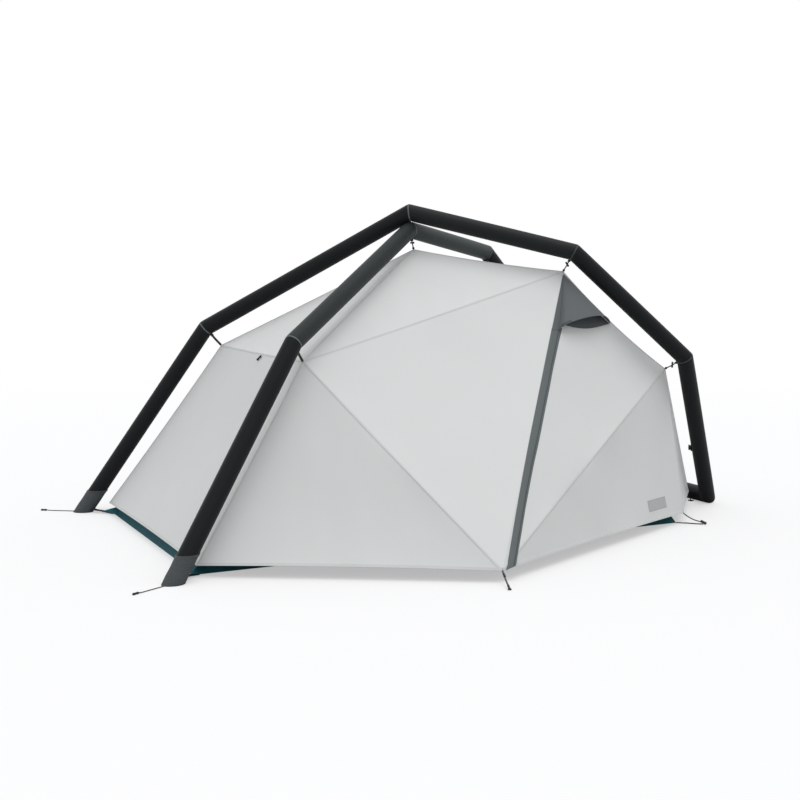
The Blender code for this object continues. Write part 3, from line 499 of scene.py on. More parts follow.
@contextmanager
def editing(
    piece: bpy.types.Object, kind: str = "FACE", choice: str = "DESELECT"
) -> Iterator[bmesh.types.BMesh]:
    """Open a piece in edit mode.

    Args:
        piece: the object.
        kind: VERT, EDGE or FACE.
        choice: SELECT to start with all of it selected, or DESELECT with nothing.

    Yields:
        The mesh being edited.
    """
    only(piece)
    bpy.ops.object.mode_set(mode="EDIT")
    bpy.ops.mesh.select_mode(type=kind)
    bpy.ops.mesh.select_all(action=choice)
    yield bmesh.from_edit_mesh(piece.data)
    bpy.ops.object.mode_set(mode="OBJECT")


def choose(piece: bpy.types.Object, items: Sequence, test: Callable) -> None:
    """Select the faces or edges that pass a test.

    Args:
        piece: the object in edit mode.
        items: its faces or edges.
        test: says whether one is selected.
    """
    for item in items:
        item.select_set(bool(test(item)))
    bmesh.update_edit_mesh(piece.data)


def modify(piece: bpy.types.Object, kind: str, **settings: object) -> None:
    """Add a modifier and apply it.

    Args:
        piece: the object.
        kind: the modifier's type.
        settings: its property names and values.
    """
    step = piece.modifiers.new(kind.lower(), kind)
    for name, value in settings.items():
        setattr(step, name, value)
    only(piece)
    bpy.ops.object.modifier_apply(modifier=step.name)


def thicken(piece: bpy.types.Object, thickness: float, offset: float = -1.0) -> None:
    """Give a skin its thickness, below its faces or, with an offset of 1, above them."""
    modify(piece, "SOLIDIFY", thickness=thickness, offset=offset)


def ease(piece: bpy.types.Object, width: float, segments: int = 2) -> None:
    """Round a piece's sharp edges."""
    modify(piece, "BEVEL", width=width, segments=segments, limit_method="ANGLE")


def trim(piece: bpy.types.Object, point: Vector, normal: Vector) -> None:
    """Cut away what lies behind a plane."""
    with editing(piece, choice="SELECT"):
        bpy.ops.mesh.bisect(plane_co=point, plane_no=normal, clear_inner=True)


def ring(piece: bpy.types.Object, axis: Vector, cuts: int) -> None:
    """Divide a piece's edges along an axis.

    Args:
        piece: the object.
        axis: a unit vector along the edges.
        cuts: how many rings of points to add.
    """

    def runs_along(edge: bmesh.types.BMEdge) -> bool:
        """Whether an edge runs along the axis."""
        return abs((edge.verts[1].co - edge.verts[0].co).normalized().dot(axis)) > 0.99

    with editing(piece, "EDGE") as bm:
        choose(piece, bm.edges, runs_along)
        bpy.ops.mesh.subdivide(number_cuts=cuts)


def aligned(axis: Vector, hint: Vector = UP) -> Matrix:
    """A turn whose Z runs along an axis.

    Args:
        axis: the way of the turned Z.
        hint: roughly the way of the turned X.

    Returns:
        The turn.
    """
    z_axis = axis.normalized()
    x_axis = hint - hint.dot(z_axis) * z_axis
    if x_axis.length < MILLIMETRE:
        x_axis = z_axis.orthogonal()
    x_axis.normalize()
    return Matrix((x_axis, z_axis.cross(x_axis), z_axis)).transposed().to_4x4()


def placed(point: Vector, axis: Vector, hint: Vector = UP) -> Matrix:
    """The place of a piece whose Z runs along an axis from a point."""
    return Matrix.Translation(point) @ aligned(axis, hint)


def added(add: Callable, **settings: object) -> bpy.types.Object:
    """Add a primitive with nothing else selected.

    Args:
        add: the primitive's operator.
        settings: its property names and values.

    Returns:
        The new object.
    """
    bpy.ops.object.select_all(action="DESELECT")
    add(**settings)
    return bpy.context.object


def block(size: Sequence[float]) -> bpy.types.Object:
    """A box of a size, round the origin."""
    piece = added(bpy.ops.mesh.primitive_cube_add, size=1)
    piece.scale = size
    return settle(piece)


def disc(radius: float, height: float, sides: int) -> bpy.types.Object:
    """A disc that stands on the origin."""
    add = bpy.ops.mesh.primitive_cylinder_add
    return settle(added(add, vertices=sides, radius=radius, depth=height, location=(0, 0, height / 2)))


def pipe(middle: Vector, axis: Vector, length: float, radius: float, sides: int) -> bpy.types.Object:
    """An open round wall.

    Args:
        middle: its middle.
        axis: the way it runs.
        length: its length.
        radius: its radius.
        sides: how many sides it has.

    Returns:
        The new object.
    """
    add = bpy.ops.mesh.primitive_cylinder_add
    piece = added(add, vertices=sides, radius=radius, depth=length, end_fill_type="NOTHING")
    return settle(piece, placed(middle, axis))


def rounded_bar(start: Vector, end: Vector, radius: float) -> bpy.types.Object:
    """A moulded bar with rounded ends and a shallow waist.

    Args:
        start: one end.
        end: the other end.
        radius: the bar's radius.

    Returns:
        The new object.
    """
    sides, rings = 24, 5
    waist, waist_share, rounding = 0.78, 0.25, 0.35
    axis = end - start
    bar = added(bpy.ops.mesh.primitive_cylinder_add, vertices=sides, radius=radius, depth=axis.length)
    ring(bar, UP, rings)
    for vertex in bar.data.vertices:
        if abs(vertex.co.z) < waist_share * axis.length / 2:
            vertex.co.x *= waist
            vertex.co.y *= waist
    ease(bar, radius * rounding, 3)
    return settle(bar, placed((start + end) / 2, axis))


def dress(
    piece: bpy.types.Object,
    name: str,
    finish: Finish,
    nodes: Sequence[str] = (),
    body: str | None = "tent",
    smooth: float = CRISP,
) -> bpy.types.Object:
    """Name, shade and colour a finished piece, and put it on its body.

    Args:
        piece: the object.
        name: its name.
        finish: what it is made of.
        nodes: the frame's nodes that it stands for.
        body: the body that it rides on, or None to put it on no body.
        smooth: the sharpest edge, in degrees, that is shaded smooth.

    Returns:
        The same object.
    """
    piece.name = name
    piece.data.name = name
    only(piece)
    bpy.ops.object.shade_smooth_by_angle(angle=math.radians(smooth))
    piece.data.materials.clear()
    piece.data.materials.append(Palette.get(finish))
    if nodes:
        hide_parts(*nodes)
    if body:
        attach(piece, body)
    return piece


def mean(points: Sequence[Vector]) -> Vector:
    """The middle of some points."""
    return sum(points, Vector()) / len(points)


def shares(count: int) -> list[float]:
    """The shares from 0 to 1 in a number of equal steps."""
    return [step / count for step in range(count + 1)]


def turned(rows: list, flats: list, outward: Vector) -> tuple[list, list]:
    """Turn a grid's rows round where its faces would look the wrong way.

    Args:
        rows: the points, row by row.
        flats: each point's place on the flat pattern.
        outward: roughly the way its faces look.

    Returns:
        The rows and the pattern places, turned or not.
    """
    last = rows[-1]
    facing = (last[len(last) // 2] - last[0]).cross(last[0] - rows[0][0])
    if facing.dot(outward) < 0:
        return [row[::-1] for row in rows], [flat[::-1] for flat in flats]
    return rows, flats


class Cutting:
    """A cloth piece in the making: grids of points, with a flat pattern place for each point."""

    def __init__(self) -> None:
        """Start with no points."""
        self.bm = bmesh.new()
        self.pattern = self.bm.loops.layers.uv.new("UVMap")
        self.cut = self.bm.faces.layers.int.new("cut")
        self.cuts = 0

    def points(self, rows: Sequence, pattern: Sequence) -> list[list[tuple]]:
        """Add the points of one cut, each with its pattern place."""
        self.cuts += 1
        pairs = [zip(row, flats) for row, flats in zip(rows, pattern)]
        return [[(self.bm.verts.new(point), flat) for point, flat in pair] for pair in pairs]

    def face(self, *corners: tuple[bmesh.types.BMVert, tuple[float, float]]) -> None:
        """Sew one face between points that each carry their pattern place."""
        made = self.bm.faces.new([corner[0] for corner in corners])
        made[self.cut] = self.cuts
        for loop, corner in zip(made.loops, corners):
            loop[self.pattern].uv = corner[1]

    def grid(self, rows: Sequence[Sequence[Vector]], pattern: Sequence[Sequence[tuple]]) -> None:
        """Add a four-sided grid.

        Args:
            rows: the points, row by row.
            pattern: each point's place on the flat pattern.
        """
        made = self.points(rows, pattern)
        for low, high in zip(made, made[1:]):
            for index in range(len(low) - 1):
                self.face(low[index], low[index + 1], high[index + 1], high[index])

    def wedge(self, rows: Sequence[Sequence[Vector]], pattern: Sequence[Sequence[tuple]]) -> None:
        """Add a three-sided grid whose rows grow from one point.

        Args:
            rows: the points, row by row.
            pattern: each point's place on the flat pattern.
        """
        made = self.points(rows, pattern)
        for low, high in zip(made, made[1:]):
            for index in range(len(low)):
                self.face(low[index], high[index], high[index + 1])
            for index in range(len(low) - 1):
                self.face(low[index], high[index + 1], low[index + 1])

    def finish(self, name: str, thickness: float = 0.0, offset: float = -1.0) -> bpy.types.Object:
        """Join the grids where they meet, with a crisp seam, and give the cloth its thickness.

        Args:
            name: the object's name.
            thickness: the cloth's thickness, or 0 for a skin that is closed already.
            offset: -1 to thicken below the faces, 1 above.

        Returns:
            The new object.
        """
        bmesh.ops.remove_doubles(self.bm, verts=self.bm.verts[:], dist=MILLIMETRE / 20)
        for edge in self.bm.edges:
            edge.smooth = len({face[self.cut] for face in edge.link_faces}) < 2
        mesh_data = bpy.data.meshes.new(name)
        self.bm.to_mesh(mesh_data)
        self.bm.free()
        piece = bpy.data.objects.new(name, mesh_data)
        bpy.context.scene.collection.objects.link(piece)
        if thickness:
            thicken(piece, thickness, offset)
        return piece


def sewn(
    name: str, rows: list, flats: list, outward: Vector, thickness: float, offset: float = -1.0
) -> bpy.types.Object:
    """A cloth piece from one four-sided grid.

    Args:
        name: the object's name.
        rows: the points, row by row.
        flats: each point's place on the flat pattern.
        outward: roughly the way its faces look.
        thickness: the cloth's thickness.
        offset: -1 to thicken below the faces, 1 above.

    Returns:
        The new object.
    """
    cutting = Cutting()
    cutting.grid(*turned(rows, flats, outward))
    return cutting.finish(name, thickness, offset)


def stations(path: Sequence[Vector]) -> Iterator[tuple[Vector, Vector, float]]:
    """Walk a path.

    Args:
        path: its points.

    Yields:
        Each point, the way the path runs there, and how far along it is.
    """
    run = 0.0
    for index, point in enumerate(path):
        ahead = path[min(index + 1, len(path) - 1)]
        behind = path[max(index - 1, 0)]
        yield point, (ahead - behind).normalized(), run
        run += (ahead - point).length


def tube_along(name: str, path: Sequence[Vector], radius: float, sides: int = 10) -> bpy.types.Object:
    """A capped round cord along a path, with its braid pattern along its length.

    Args:
        name: the object's name.
        path: the points that its centre follows.
        radius: the cord's radius.
        sides: how many sides it has.

    Returns:
        The new object.
    """
    cutting = Cutting()
    rows, flats = [], []
    spoke = None
    turns = [2 * math.pi * step / sides for step in range(sides + 1)]
    for point, axis, run in stations(path):
        if spoke is None:
            spoke = axis.orthogonal()
        spoke = (spoke - spoke.dot(axis) * axis).normalized()
        across = axis.cross(spoke)
        rows.append([point + radius * (math.cos(a) * spoke + math.sin(a) * across) for a in turns])
        flats.append([(run, a * radius) for a in turns])
    cutting.grid(rows, flats)
    bmesh.ops.remove_doubles(cutting.bm, verts=cutting.bm.verts[:], dist=MILLIMETRE / 100)
    rims = [edge for edge in cutting.bm.edges if edge.is_boundary]
    bmesh.ops.holes_fill(cutting.bm, edges=rims)
    bmesh.ops.recalc_face_normals(cutting.bm, faces=cutting.bm.faces[:])
    return cutting.finish(name)


def smooth_path(points: Sequence[Vector], steps: int = 8) -> list[Vector]:
    """Points on a smooth curve through a row of route points.

    Args:
        points: the route points.
        steps: how many points to put in each stretch.

    Returns:
        The curve's points, ends included.
    """
    padded = [2 * points[0] - points[1], *points, 2 * points[-1] - points[-2]]
    path = []
    for before, start, end, after in zip(padded, padded[1:], padded[2:], padded[3:]):
        slope = end - before
        bend = 2 * before - 5 * start + 4 * end - after
        twist = 3 * start - before - 3 * end + after
        for step in range(steps):
            t = step / steps
            path.append(0.5 * (2 * start + slope * t + bend * t * t + twist * t * t * t))
    path.append(points[-1].copy())
    return path


def path_length(path: Sequence[Vector]) -> float:
    """The length of a row of points."""
    return sum((after - before).length for before, after in zip(path, path[1:]))


def webbing(
    name: str, path: Sequence[Vector], width: float, thickness: float, face: Vector
) -> bpy.types.Object:
    """A flat woven strap along a path.

    Args:
        name: the object's name.
        path: the points that its middle follows.
        width: the strap's width.
        thickness: its thickness.
        face: roughly the way its outer face looks.

    Returns:
        The new object.
    """
    lines = [width / 2 * share for share in (-1, -0.5, 0, 0.5, 1)]
    rows, flats = [], []
    for point, axis, run in stations(path):
        across = axis.cross(face).normalized()
        rows.append([point + across * line for line in lines])
        flats.append([(run, line) for line in lines])
    return sewn(name, rows, flats, face, thickness)


# The air frame


@dataclass(frozen=True)
class FramePlan:
    """The corner points of the tubes' centre lines, given for the arch that starts at the back foot."""

    radius: float = 0.0375
    crossing_rise: float = 0.0385
    foot: tuple[float, float, float] = (-1.4192, 0.804, 0.0)
    shoulder: tuple[float, float, float] = (-0.8647, 0.602, 0.870)
    crown: tuple[float, float, float] = (-0.0817, 0.0, 1.365)
    brow: tuple[float, float, float] = (0.5296, -0.4155, 1.2255)
    knee: tuple[float, float, float] = (1.0183, -0.581, 0.7505)
    heel: tuple[float, float, float] = (1.4280, -0.223, 0.0375)

    def arch(self, side: Side) -> list[Vector]:
        """The centre line of the arch that starts at a side's foot. The back one passes on top.

        Args:
            side: the side of its foot.

        Returns:
            Its corner points, foot first.
        """
        points = [self.foot, self.shoulder, self.crown, self.brow, self.knee, self.heel]
        line = [Vector((x, side.value * y, z)) for x, y, z in points]
        line[2].z += side.value * self.crossing_rise
        return line


PLAN = FramePlan()
CORNER_WORDS = ("foot", "shoulder", "crown", "brow", "knee", "heel")
RUN_WORDS = ("leg", "rafter", "ridge", "shoulder", "tail")


@dataclass
class AirFrame:
    """The inflated tubes in their woven sleeves, with a weld line round every elbow."""

    sides: int = 72
    rings: int = 44
    wall: float = 0.0009
    pinch: float = 0.0016
    pinch_reach: float = 0.007
    pucker: float = 0.0011
    pucker_reach: float = 0.055
    pucker_start: float = 0.012
    pucker_count: int = 11
    pucker_drift: float = 3.0
    ring_crowding: float = 0.75
    weld_half: float = 0.0030
    weld_height: float = 0.0004
    foot_height: float = 0.0023

    # Runs whose black sleeve is painted lighter where the light falls on them
    FINISHES = {
        (Side.FRONT, "rafter"): Palette.TUBE_SLATE,
        (Side.FRONT, "ridge"): Palette.TUBE_GREY,
        (Side.BACK, "ridge"): Palette.TUBE_DUSK,
    }

    def build(self) -> None:
        """Make every sleeve and weld line."""
        for side in (Side.BACK, Side.FRONT):
            self.build_arch(side)
        back, front = PLAN.arch(Side.BACK), PLAN.arch(Side.FRONT)
        sleeve = self.run([back[-2], back[-1], front[-1], front[-2]], 1)
        dress(sleeve, "sleeve_ground_cover", Palette.TUBE, ["sleeve_ground"])
        LOG.info("ground tube made")

    def build_arch(self, side: Side) -> None:
        """Make one arch's sleeves and welds.

        Args:
            side: the side of its foot.
        """
        line = PLAN.arch(side)
        over = PLAN.arch(Side.BACK) if side is Side.FRONT else None
        whole = [*line, PLAN.arch(side.other)[-1]]
        for index, word in enumerate(RUN_WORDS):
            near, end = (side, "left") if index < 2 else (side.other, "right")
            node = f"sleeve_{word}_{near.word}_{end}"
            pale = side is Side.FRONT and word in ("rafter", "ridge")
            sleeve = self.run(whole, index, over if pale else None)
            finish = self.FINISHES.get((side, word), Palette.TUBE)
            dress(sleeve, node + "_cover", finish, [node])
        for index in range(1, len(line)):
            near = side if index < 2 else side.other
            self.weld(f"weld_{CORNER_WORDS[index]}_{near.word}", whole, index, over)
        LOG.info("arch from the %s foot made", side.word)

    def ends(self, line: Sequence[Vector], index: int) -> tuple[Vector, Vector, Vector, Vector]:
        """Where a run starts and ends, with the normal of the plane that cuts it there.

        Args:
            line: the corner points of the whole tube.
            index: which run of it.

        Returns:
            The start and its plane's normal, then the end and its plane's normal.
        """
        start, end = line[index], line[index + 1]
        axis = (end - start).normalized()
        last = axis
        if index:
            first = ((start - line[index - 1]).normalized() + axis).normalized()
        else:
            first = UP
            start = start + axis * (self.foot_height / axis.z)
        if index + 2 < len(line):
            last = ((line[index + 2] - end).normalized() + axis).normalized()
        return start, first, end, last

    def stub(self, line: Sequence[Vector], index: int, radius: float) -> bpy.types.Object:
        """A bare round wall along one run, longer than the run at both ends.

        Args:
            line: the corner points of the whole tube.
            index: which run of it.
            radius: the wall's radius.

        Returns:
            The new object.
        """
        start, _, end, _ = self.ends(line, index)
        axis = end - start
        return pipe((start + end) / 2, axis, axis.length + 6 * radius, radius, self.sides)

    def drawn_in(self, angle: float, distance: float) -> float:
        """How deep a weld draws the sleeve in.

        Args:
            angle: the place round the tube.
            distance: how far the weld is.

        Returns:
            The depth.
        """
        wave = 0.5 + 0.5 * math.sin(self.pucker_count * angle + self.pucker_drift * math.sin(2 * angle))
        fade = 1 - math.exp(-((distance / self.pucker_start) ** 2))
        pinched = self.pinch * math.exp(-((distance / self.pinch_reach) ** 2))
        return pinched + self.pucker * wave * fade * math.exp(-distance / self.pucker_reach)

    def run(
        self, line: Sequence[Vector], index: int, over: Sequence[Vector] | None = None
    ) -> bpy.types.Object:
        """One straight run of sleeve, drawn in and puckered at its welds.

        Args:
            line: the corner points of the whole tube.
            index: which run of it to make.
            over: the tube that presses into this one from above, or None.

        Returns:
            The new object.
        """
        start, first, end, last = self.ends(line, index)
        axis = (end - start).normalized()
        piece = self.stub(line, index, PLAN.radius)
        trim(piece, start, first)
        trim(piece, end, -last)
        ring(piece, axis, self.rings)
        side = axis.orthogonal().normalized()
        across = axis.cross(side)
        for vertex in piece.data.vertices:
            point = vertex.co.copy()
            near = abs((point - start).dot(first) / axis.dot(first))
            whole = near + abs((point - end).dot(last) / axis.dot(last))
            share = near / whole
            crowded = share - self.ring_crowding * math.sin(2 * math.pi * share) / (2 * math.pi)
            point += axis * (whole * (crowded - share))
            foot = start + axis * (point - start).dot(axis)
            spoke = (point - foot).normalized()
            angle = math.atan2(spoke.dot(across), spoke.dot(side))
            draw = self.drawn_in(angle, whole * (1 - crowded))
            if index:
                draw += self.drawn_in(angle, whole * crowded)
            vertex.co = foot + spoke * (PLAN.radius - draw)
        if over is not None:
            self.press(piece, over)
        self.mark_pattern(piece, start, axis, side)
        thicken(piece, self.wall)
        return piece

    def press(self, piece: bpy.types.Object, over: Sequence[Vector]) -> None:
        """Push a tube's wall clear of the tube that crosses over it.

        Args:
            piece: the wall.
            over: the corner points of the tube above.
        """
        reach = PLAN.radius + GAP
        crown = over[2]
        axes = [(over[index] - crown).normalized() for index in (1, 3)]
        for vertex in piece.data.vertices:
            for axis in axes:
                along = (vertex.co - crown).dot(axis)
                foot = crown + axis * along
                away = vertex.co - foot
                if along >= -PLAN.radius and away.length < reach:
                    vertex.co = foot + away.normalized() * reach

    def mark_pattern(self, piece: bpy.types.Object, start: Vector, axis: Vector, side: Vector) -> None:
        """Lay the weave along the tube and round it, in metres.

        Args:
            piece: the wall.
            start: where the pattern starts.
            axis: the way the tube runs.
            side: the way from the tube's centre to the pattern's middle line.
        """
        layer = piece.data.uv_layers.active or piece.data.uv_layers.new(name="UVMap")
        girth = 2 * math.pi * PLAN.radius
        across = axis.cross(side)
        for face in piece.data.polygons:
            places = []
            for index in face.vertices:
                offset = piece.data.vertices[index].co - start
                turn = math.atan2(offset.dot(across), offset.dot(side)) * PLAN.radius
                places.append([offset.dot(axis), turn])
            turns = [place[1] for place in places]
            if max(turns) - min(turns) > girth / 2:
                for place in places:
                    place[1] += girth if place[1] < 0 else 0
            for corner, place in zip(face.loop_indices, places):
                layer.data[corner].uv = place

    def weld(self, name: str, line: Sequence[Vector], index: int, over: Sequence[Vector] | None) -> None:
        """The weld line round an elbow, bent over its mitre: pale up to the crown, then dark.

        Args:
            name: the piece's name.
            line: the corner points of the whole tube.
            index: the elbow's place on the line.
            over: the tube that presses into this one from above, or None.
        """
        sunk = self.pinch * math.exp(-((self.weld_half / self.pinch_reach) ** 2))
        radius = PLAN.radius - sunk + self.weld_height
        halves = []
        for run, sign in ((index - 1, -1), (index, 1)):
            start, first, end, last = self.ends(line, run)
            axis = (end - start).normalized()
            normal = (last if sign < 0 else first) * sign
            half = self.stub(line, run, radius)
            trim(half, line[index], normal)
            trim(half, line[index] + axis * sign * self.weld_half, -normal)
            halves.append(half)
        only(halves[0])
        halves[1].select_set(True)
        bpy.ops.object.join()
        band = bpy.context.object
        with editing(band, choice="SELECT"):
            bpy.ops.mesh.remove_doubles(threshold=MILLIMETRE / 10)
            bpy.ops.mesh.normals_make_consistent(inside=False)
        at_crown = CORNER_WORDS.index("crown")
        if over is not None and index == at_crown:
            self.press(band, over)
        thicken(band, 3 * self.weld_height)
        ease(band, self.weld_height / 2, 1)
        dress(band, name, Palette.WELD if index <= at_crown else Palette.WELD_DARK)


@dataclass
class Boots:
    """The stiff woven boots round both feet, with their straps to the floor's corners."""

    wall: float = 0.0014
    height: float = 0.103
    rounding: float = 0.0004
    swell: float = 0.0008
    swell_scale: float = 22.0
    ripple: float = 0.0006
    ripple_scale: float = 90.0
    edge_width: float = 0.009
    edge_height: float = 0.0009
    edge_rounding: float = 0.0005
    strap_width: float = 0.030
    strap_thickness: float = 0.0020
    strap_rises: tuple[float, float, float] = (0.021, 0.011, 0.0026)
    strap_bend_share: float = 0.62
    strap_sag: float = 0.002
    sides: int = 64
    rings: int = 10

    def build(self) -> None:
        """Make both boots."""
        for side in (Side.BACK, Side.FRONT):
            self.boot(side)
            self.strap(side)
        LOG.info("boots made")

    def shaft(self, side: Side, low: float, high: float, radius: float) -> bpy.types.Object:
        """A round wall along the leg, cut level at two heights.

        Args:
            side: the side of the foot.
            low: the height of its lower edge.
            high: the height of its upper edge.
            radius: its radius.

        Returns:
            The new object.
        """
        foot, knee = PLAN.arch(side)[:2]
        axis = (knee - foot).normalized()
        length = (high - low) / axis.z + 6 * radius
        piece = pipe(foot + axis * ((low + high) / 2 / axis.z), axis, length, radius, self.sides)
        trim(piece, UP * low, UP)
        trim(piece, UP * high, -UP)
        ring(piece, axis, self.rings)
        return piece

    def boot(self, side: Side) -> None:
        """One boot with its sole and its top binding.

        Args:
            side: the side of the foot.
        """
        foot, knee = PLAN.arch(side)[:2]
        axis = (knee - foot).normalized()
        outer = PLAN.radius + GAP + self.wall
        shaft = self.shaft(side, GAP / 3, self.height, outer)
        for vertex in shaft.data.vertices:
            offset = vertex.co - foot
            along = offset.dot(axis)
            spoke = (offset - axis * along).normalized()
            swell = noise.noise(vertex.co * self.swell_scale) * self.swell
            swell += self.ripple * math.sin(along * self.ripple_scale)
            spoke.z = 0
            vertex.co += spoke * swell
        with editing(shaft, "EDGE") as bm:
            choose(shaft, bm.edges, lambda edge: edge.is_boundary and edge.verts[0].co.z < MILLIMETRE)
            bpy.ops.mesh.edge_face_add()
        with editing(shaft, choice="SELECT"):
            bpy.ops.mesh.normals_make_consistent(inside=False)
        thicken(shaft, self.wall)
        ease(shaft, self.rounding)
        node = f"boot_{side.word}"
        dress(shaft, node + "_shaft", Palette.BOOT, [node])

        low, high = self.height - self.edge_width, self.height + self.edge_height
        binding = self.shaft(side, low, high, outer + self.edge_height)
        thicken(binding, 2 * self.edge_height)
        ease(binding, self.edge_rounding)
        dress(binding, node + "_binding", Palette.BOOT_EDGE)

    def strap(self, side: Side) -> None:
        """The strap from a boot to the floor's corner.

        Args:
            side: the side of the foot.
        """
        foot, corner = PLAN.arch(side)[0], FLOOR.base_corner("left", side)
        start = foot + (corner - foot).normalized() * (PLAN.radius + self.wall)
        points = [start, foot.lerp(corner, self.strap_bend_share), corner]
        start, middle, end = (point + UP * rise for point, rise in zip(points, self.strap_rises))
        path = smooth_path([start, start.lerp(middle, 0.5) - UP * self.strap_sag, middle, end], 6)
        outward = Vector((-0.55, side.value * 0.55, 1.0))
        strap = webbing("strap", path, self.strap_width, self.strap_thickness, outward)
        dress(strap, f"boot_{side.word}_strap", Palette.WEBBING)


# Cloth panels


@dataclass
class Panel:
    """One flat-cut panel, pulled in along its seams and between them.

    Attributes:
        corners: its corner points, counter-clockwise seen from outside.
        belly: how deep the middle of the panel sinks below its seams.
        fold_depth: the depth of its soft folds.
        seed: where its folds are read from the noise.
    """

    corners: list[Vector]
    belly: float = 0.0
    fold_depth: float = 0.0
    seed: float = 0.0

    # How many folds a metre has along the level and up the slope
    BROAD_FOLDS = (3.6, 1.5)
    FINE_FOLDS = (10.0, 2.6)
    FINE_SHARE = 0.40
    FINE_SEED = 5.0
    CALM_POWER = 0.7

    def __post_init__(self) -> None:
        """Work out the panel's own axes, and start with no edge pulled."""
        first, second, third = self.corners[:3]
        self.normal = (second - first).cross(third - first).normalized()
        self.level = UP.cross(self.normal)
        if self.level.length < MILLIMETRE:
            self.level = Vector((1, 0, 0))
        self.level.normalize()
        self.slope = self.normal.cross(self.level)
        self.pulls: list[Vector] = []

    def flat(self, point: Vector) -> tuple[float, float]:
        """A point's place on the flat pattern: along the level, and up the slope."""
        offset = point - self.corners[0]
        return offset.dot(self.level), offset.dot(self.slope)

    def into(self, start: Vector, along: Vector) -> Vector:
        """The way into the panel from one of its edges."""
        inward = self.normal.cross(along)
        return inward if inward.dot(mean(self.corners) - start) >= 0 else -inward

    def blend(self, weights: Sequence[float]) -> Vector:
        """The flat point that the corner weights give."""
        return sum((w * c for w, c in zip(weights, self.corners)), Vector())

    def fold(self, point: Vector) -> float:
        """How high the soft folds are at a flat point, as a share of their depth.

        Args:
            point: the flat point.

        Returns:
            The share.
        """
        right, up = self.flat(point)
        seeds = self.seed, self.seed + self.FINE_SEED
        broad, fine = (
            noise.noise(Vector((right * per_right, up * per_up, seed)))
            for (per_right, per_up), seed in zip((self.BROAD_FOLDS, self.FINE_FOLDS), seeds)
        )
        return broad + self.FINE_SHARE * fine

    def place(self, weights: Sequence[float], lift: float = 0.0) -> Vector:
        """A point of the hung cloth.

        Args:
            weights: one weight for each corner, which add up to 1.
            lift: how far above the cloth to stand.

        Returns:
            The point.
        """
        flat = self.blend(weights)
        count = len(weights)
        inner = 27 * math.prod(weights) if count == 3 else 16 * weights[0] * weights[2]
        calm = max(0.0, inner) ** self.CALM_POWER
        point = flat
        for index, pull in enumerate(self.pulls):
            point = point + pull * (4 * weights[index] * weights[(index + 1) % count])
        fold = self.fold_depth * calm * self.fold(flat)
        return point + self.normal * (fold + lift - self.belly * inner)

    def weights_at(self, point: Vector) -> list[float]:
        """The corner weights of a flat point, which may lie a little outside the panel.

        Args:
            point: the flat point.

        Returns:
            One weight for each corner.
        """
        if len(self.corners) == 3:
            return self.triangle_weights(point)
        share_u = share_v = 0.5
        first, second, third, fourth = self.corners
        for _ in range(12):
            by_u = (second - first) * (1 - share_v) + (third - fourth) * share_v
            by_v = (fourth - first) * (1 - share_u) + (third - second) * share_u
            error = point - self.blend(self.square_weights(share_u, share_v))
            uu, uv, vv = by_u.dot(by_u), by_u.dot(by_v), by_v.dot(by_v)
            fit = uu * vv - uv * uv
            share_u += (error.dot(by_u) * vv - error.dot(by_v) * uv) / fit
            share_v += (error.dot(by_v) * uu - error.dot(by_u) * uv) / fit
        return self.square_weights(share_u, share_v)

    def triangle_weights(self, point: Vector) -> list[float]:
        """The three corner weights of a flat point.

        Args:
            point: the flat point.

        Returns:
            One weight for each corner.
        """
        first, second, third = self.corners
        area = (second - first).cross(third - first).dot(self.normal)
        across = ((second, third), (third, first), (first, second))
        return [(end - start).cross(point - start).dot(self.normal) / area for start, end in across]

    @staticmethod
    def square_weights(u: float, v: float) -> list[float]:
        """The four corner weights of a place on a four-sided panel."""
        return [(1 - u) * (1 - v), u * (1 - v), u * v, (1 - u) * v]

    def over(self, point: Vector, lift: float = 0.0) -> Vector:
        """Where a flat point comes to lie once the cloth is hung, plus a lift."""
        return self.place(self.weights_at(point), lift)

    def area(self) -> float:
        """The panel's flat area."""
        first = self.corners[0]
        spans = zip(self.corners[1:], self.corners[2:])
        return sum((a - first).cross(b - first).length / 2 for a, b in spans)

    def cut_into(self, cutting: Cutting, cells: int) -> None:
        """Add this panel to a cloth piece as a fine grid.

        Args:
            cutting: the cloth piece.
            cells: how many cells each side of the panel has.
        """
        steps = range(cells + 1)
        if len(self.corners) == 3:
            build = cutting.wedge
            rows = [[(1 - i / cells, (i - j) / cells, j / cells) for j in range(i + 1)] for i in steps]
        else:
            build = cutting.grid
            rows = [[self.square_weights(i / cells, j / cells) for i in steps] for j in steps]
        places = [[self.place(weights) for weights in row] for row in rows]
        build(places, [[self.flat(self.blend(weights)) for weights in row] for row in rows])


@dataclass(frozen=True)
class Edging:
    """A narrow strip that is sewn along the edges of panels.

    Attributes:
        profile: for each line of the strip, how far it lies from the edge (negative on the first
            panel, positive on the second) and how high.
        thickness: the strip's thickness.
        offset: -1 to thicken below the faces, 1 above.
        steps: how many stretches it has along an edge.
        inset: how far from the edge's ends it stops, as a share of its length.
    """

    profile: tuple[tuple[float, float], ...]
    thickness: float = 0.0004
    offset: float = -1.0
    steps: int = 60
    inset: float = 0.003


SEAM_TAPE = Edging(
    ((-0.0048, 0.0002), (-0.0042, 0.0007), (0.0, 0.0009), (0.0042, 0.0007), (0.0048, 0.0002))
)
HEM_BINDING = Edging(
    ((0.0125, 0.0002), (0.0118, 0.0009), (0.0, 0.0010), (-0.0007, 0.0), (0.0, -0.0014), (0.0118, -0.0013)),
    thickness=0.0003,
    offset=1.0,
)
DOORWAY_TAPE = Edging(
    ((0.0135, 0.0003), (0.0130, 0.0008), (0.0015, 0.0008), (0.0008, 0.0003)), steps=20, inset=0.0
)


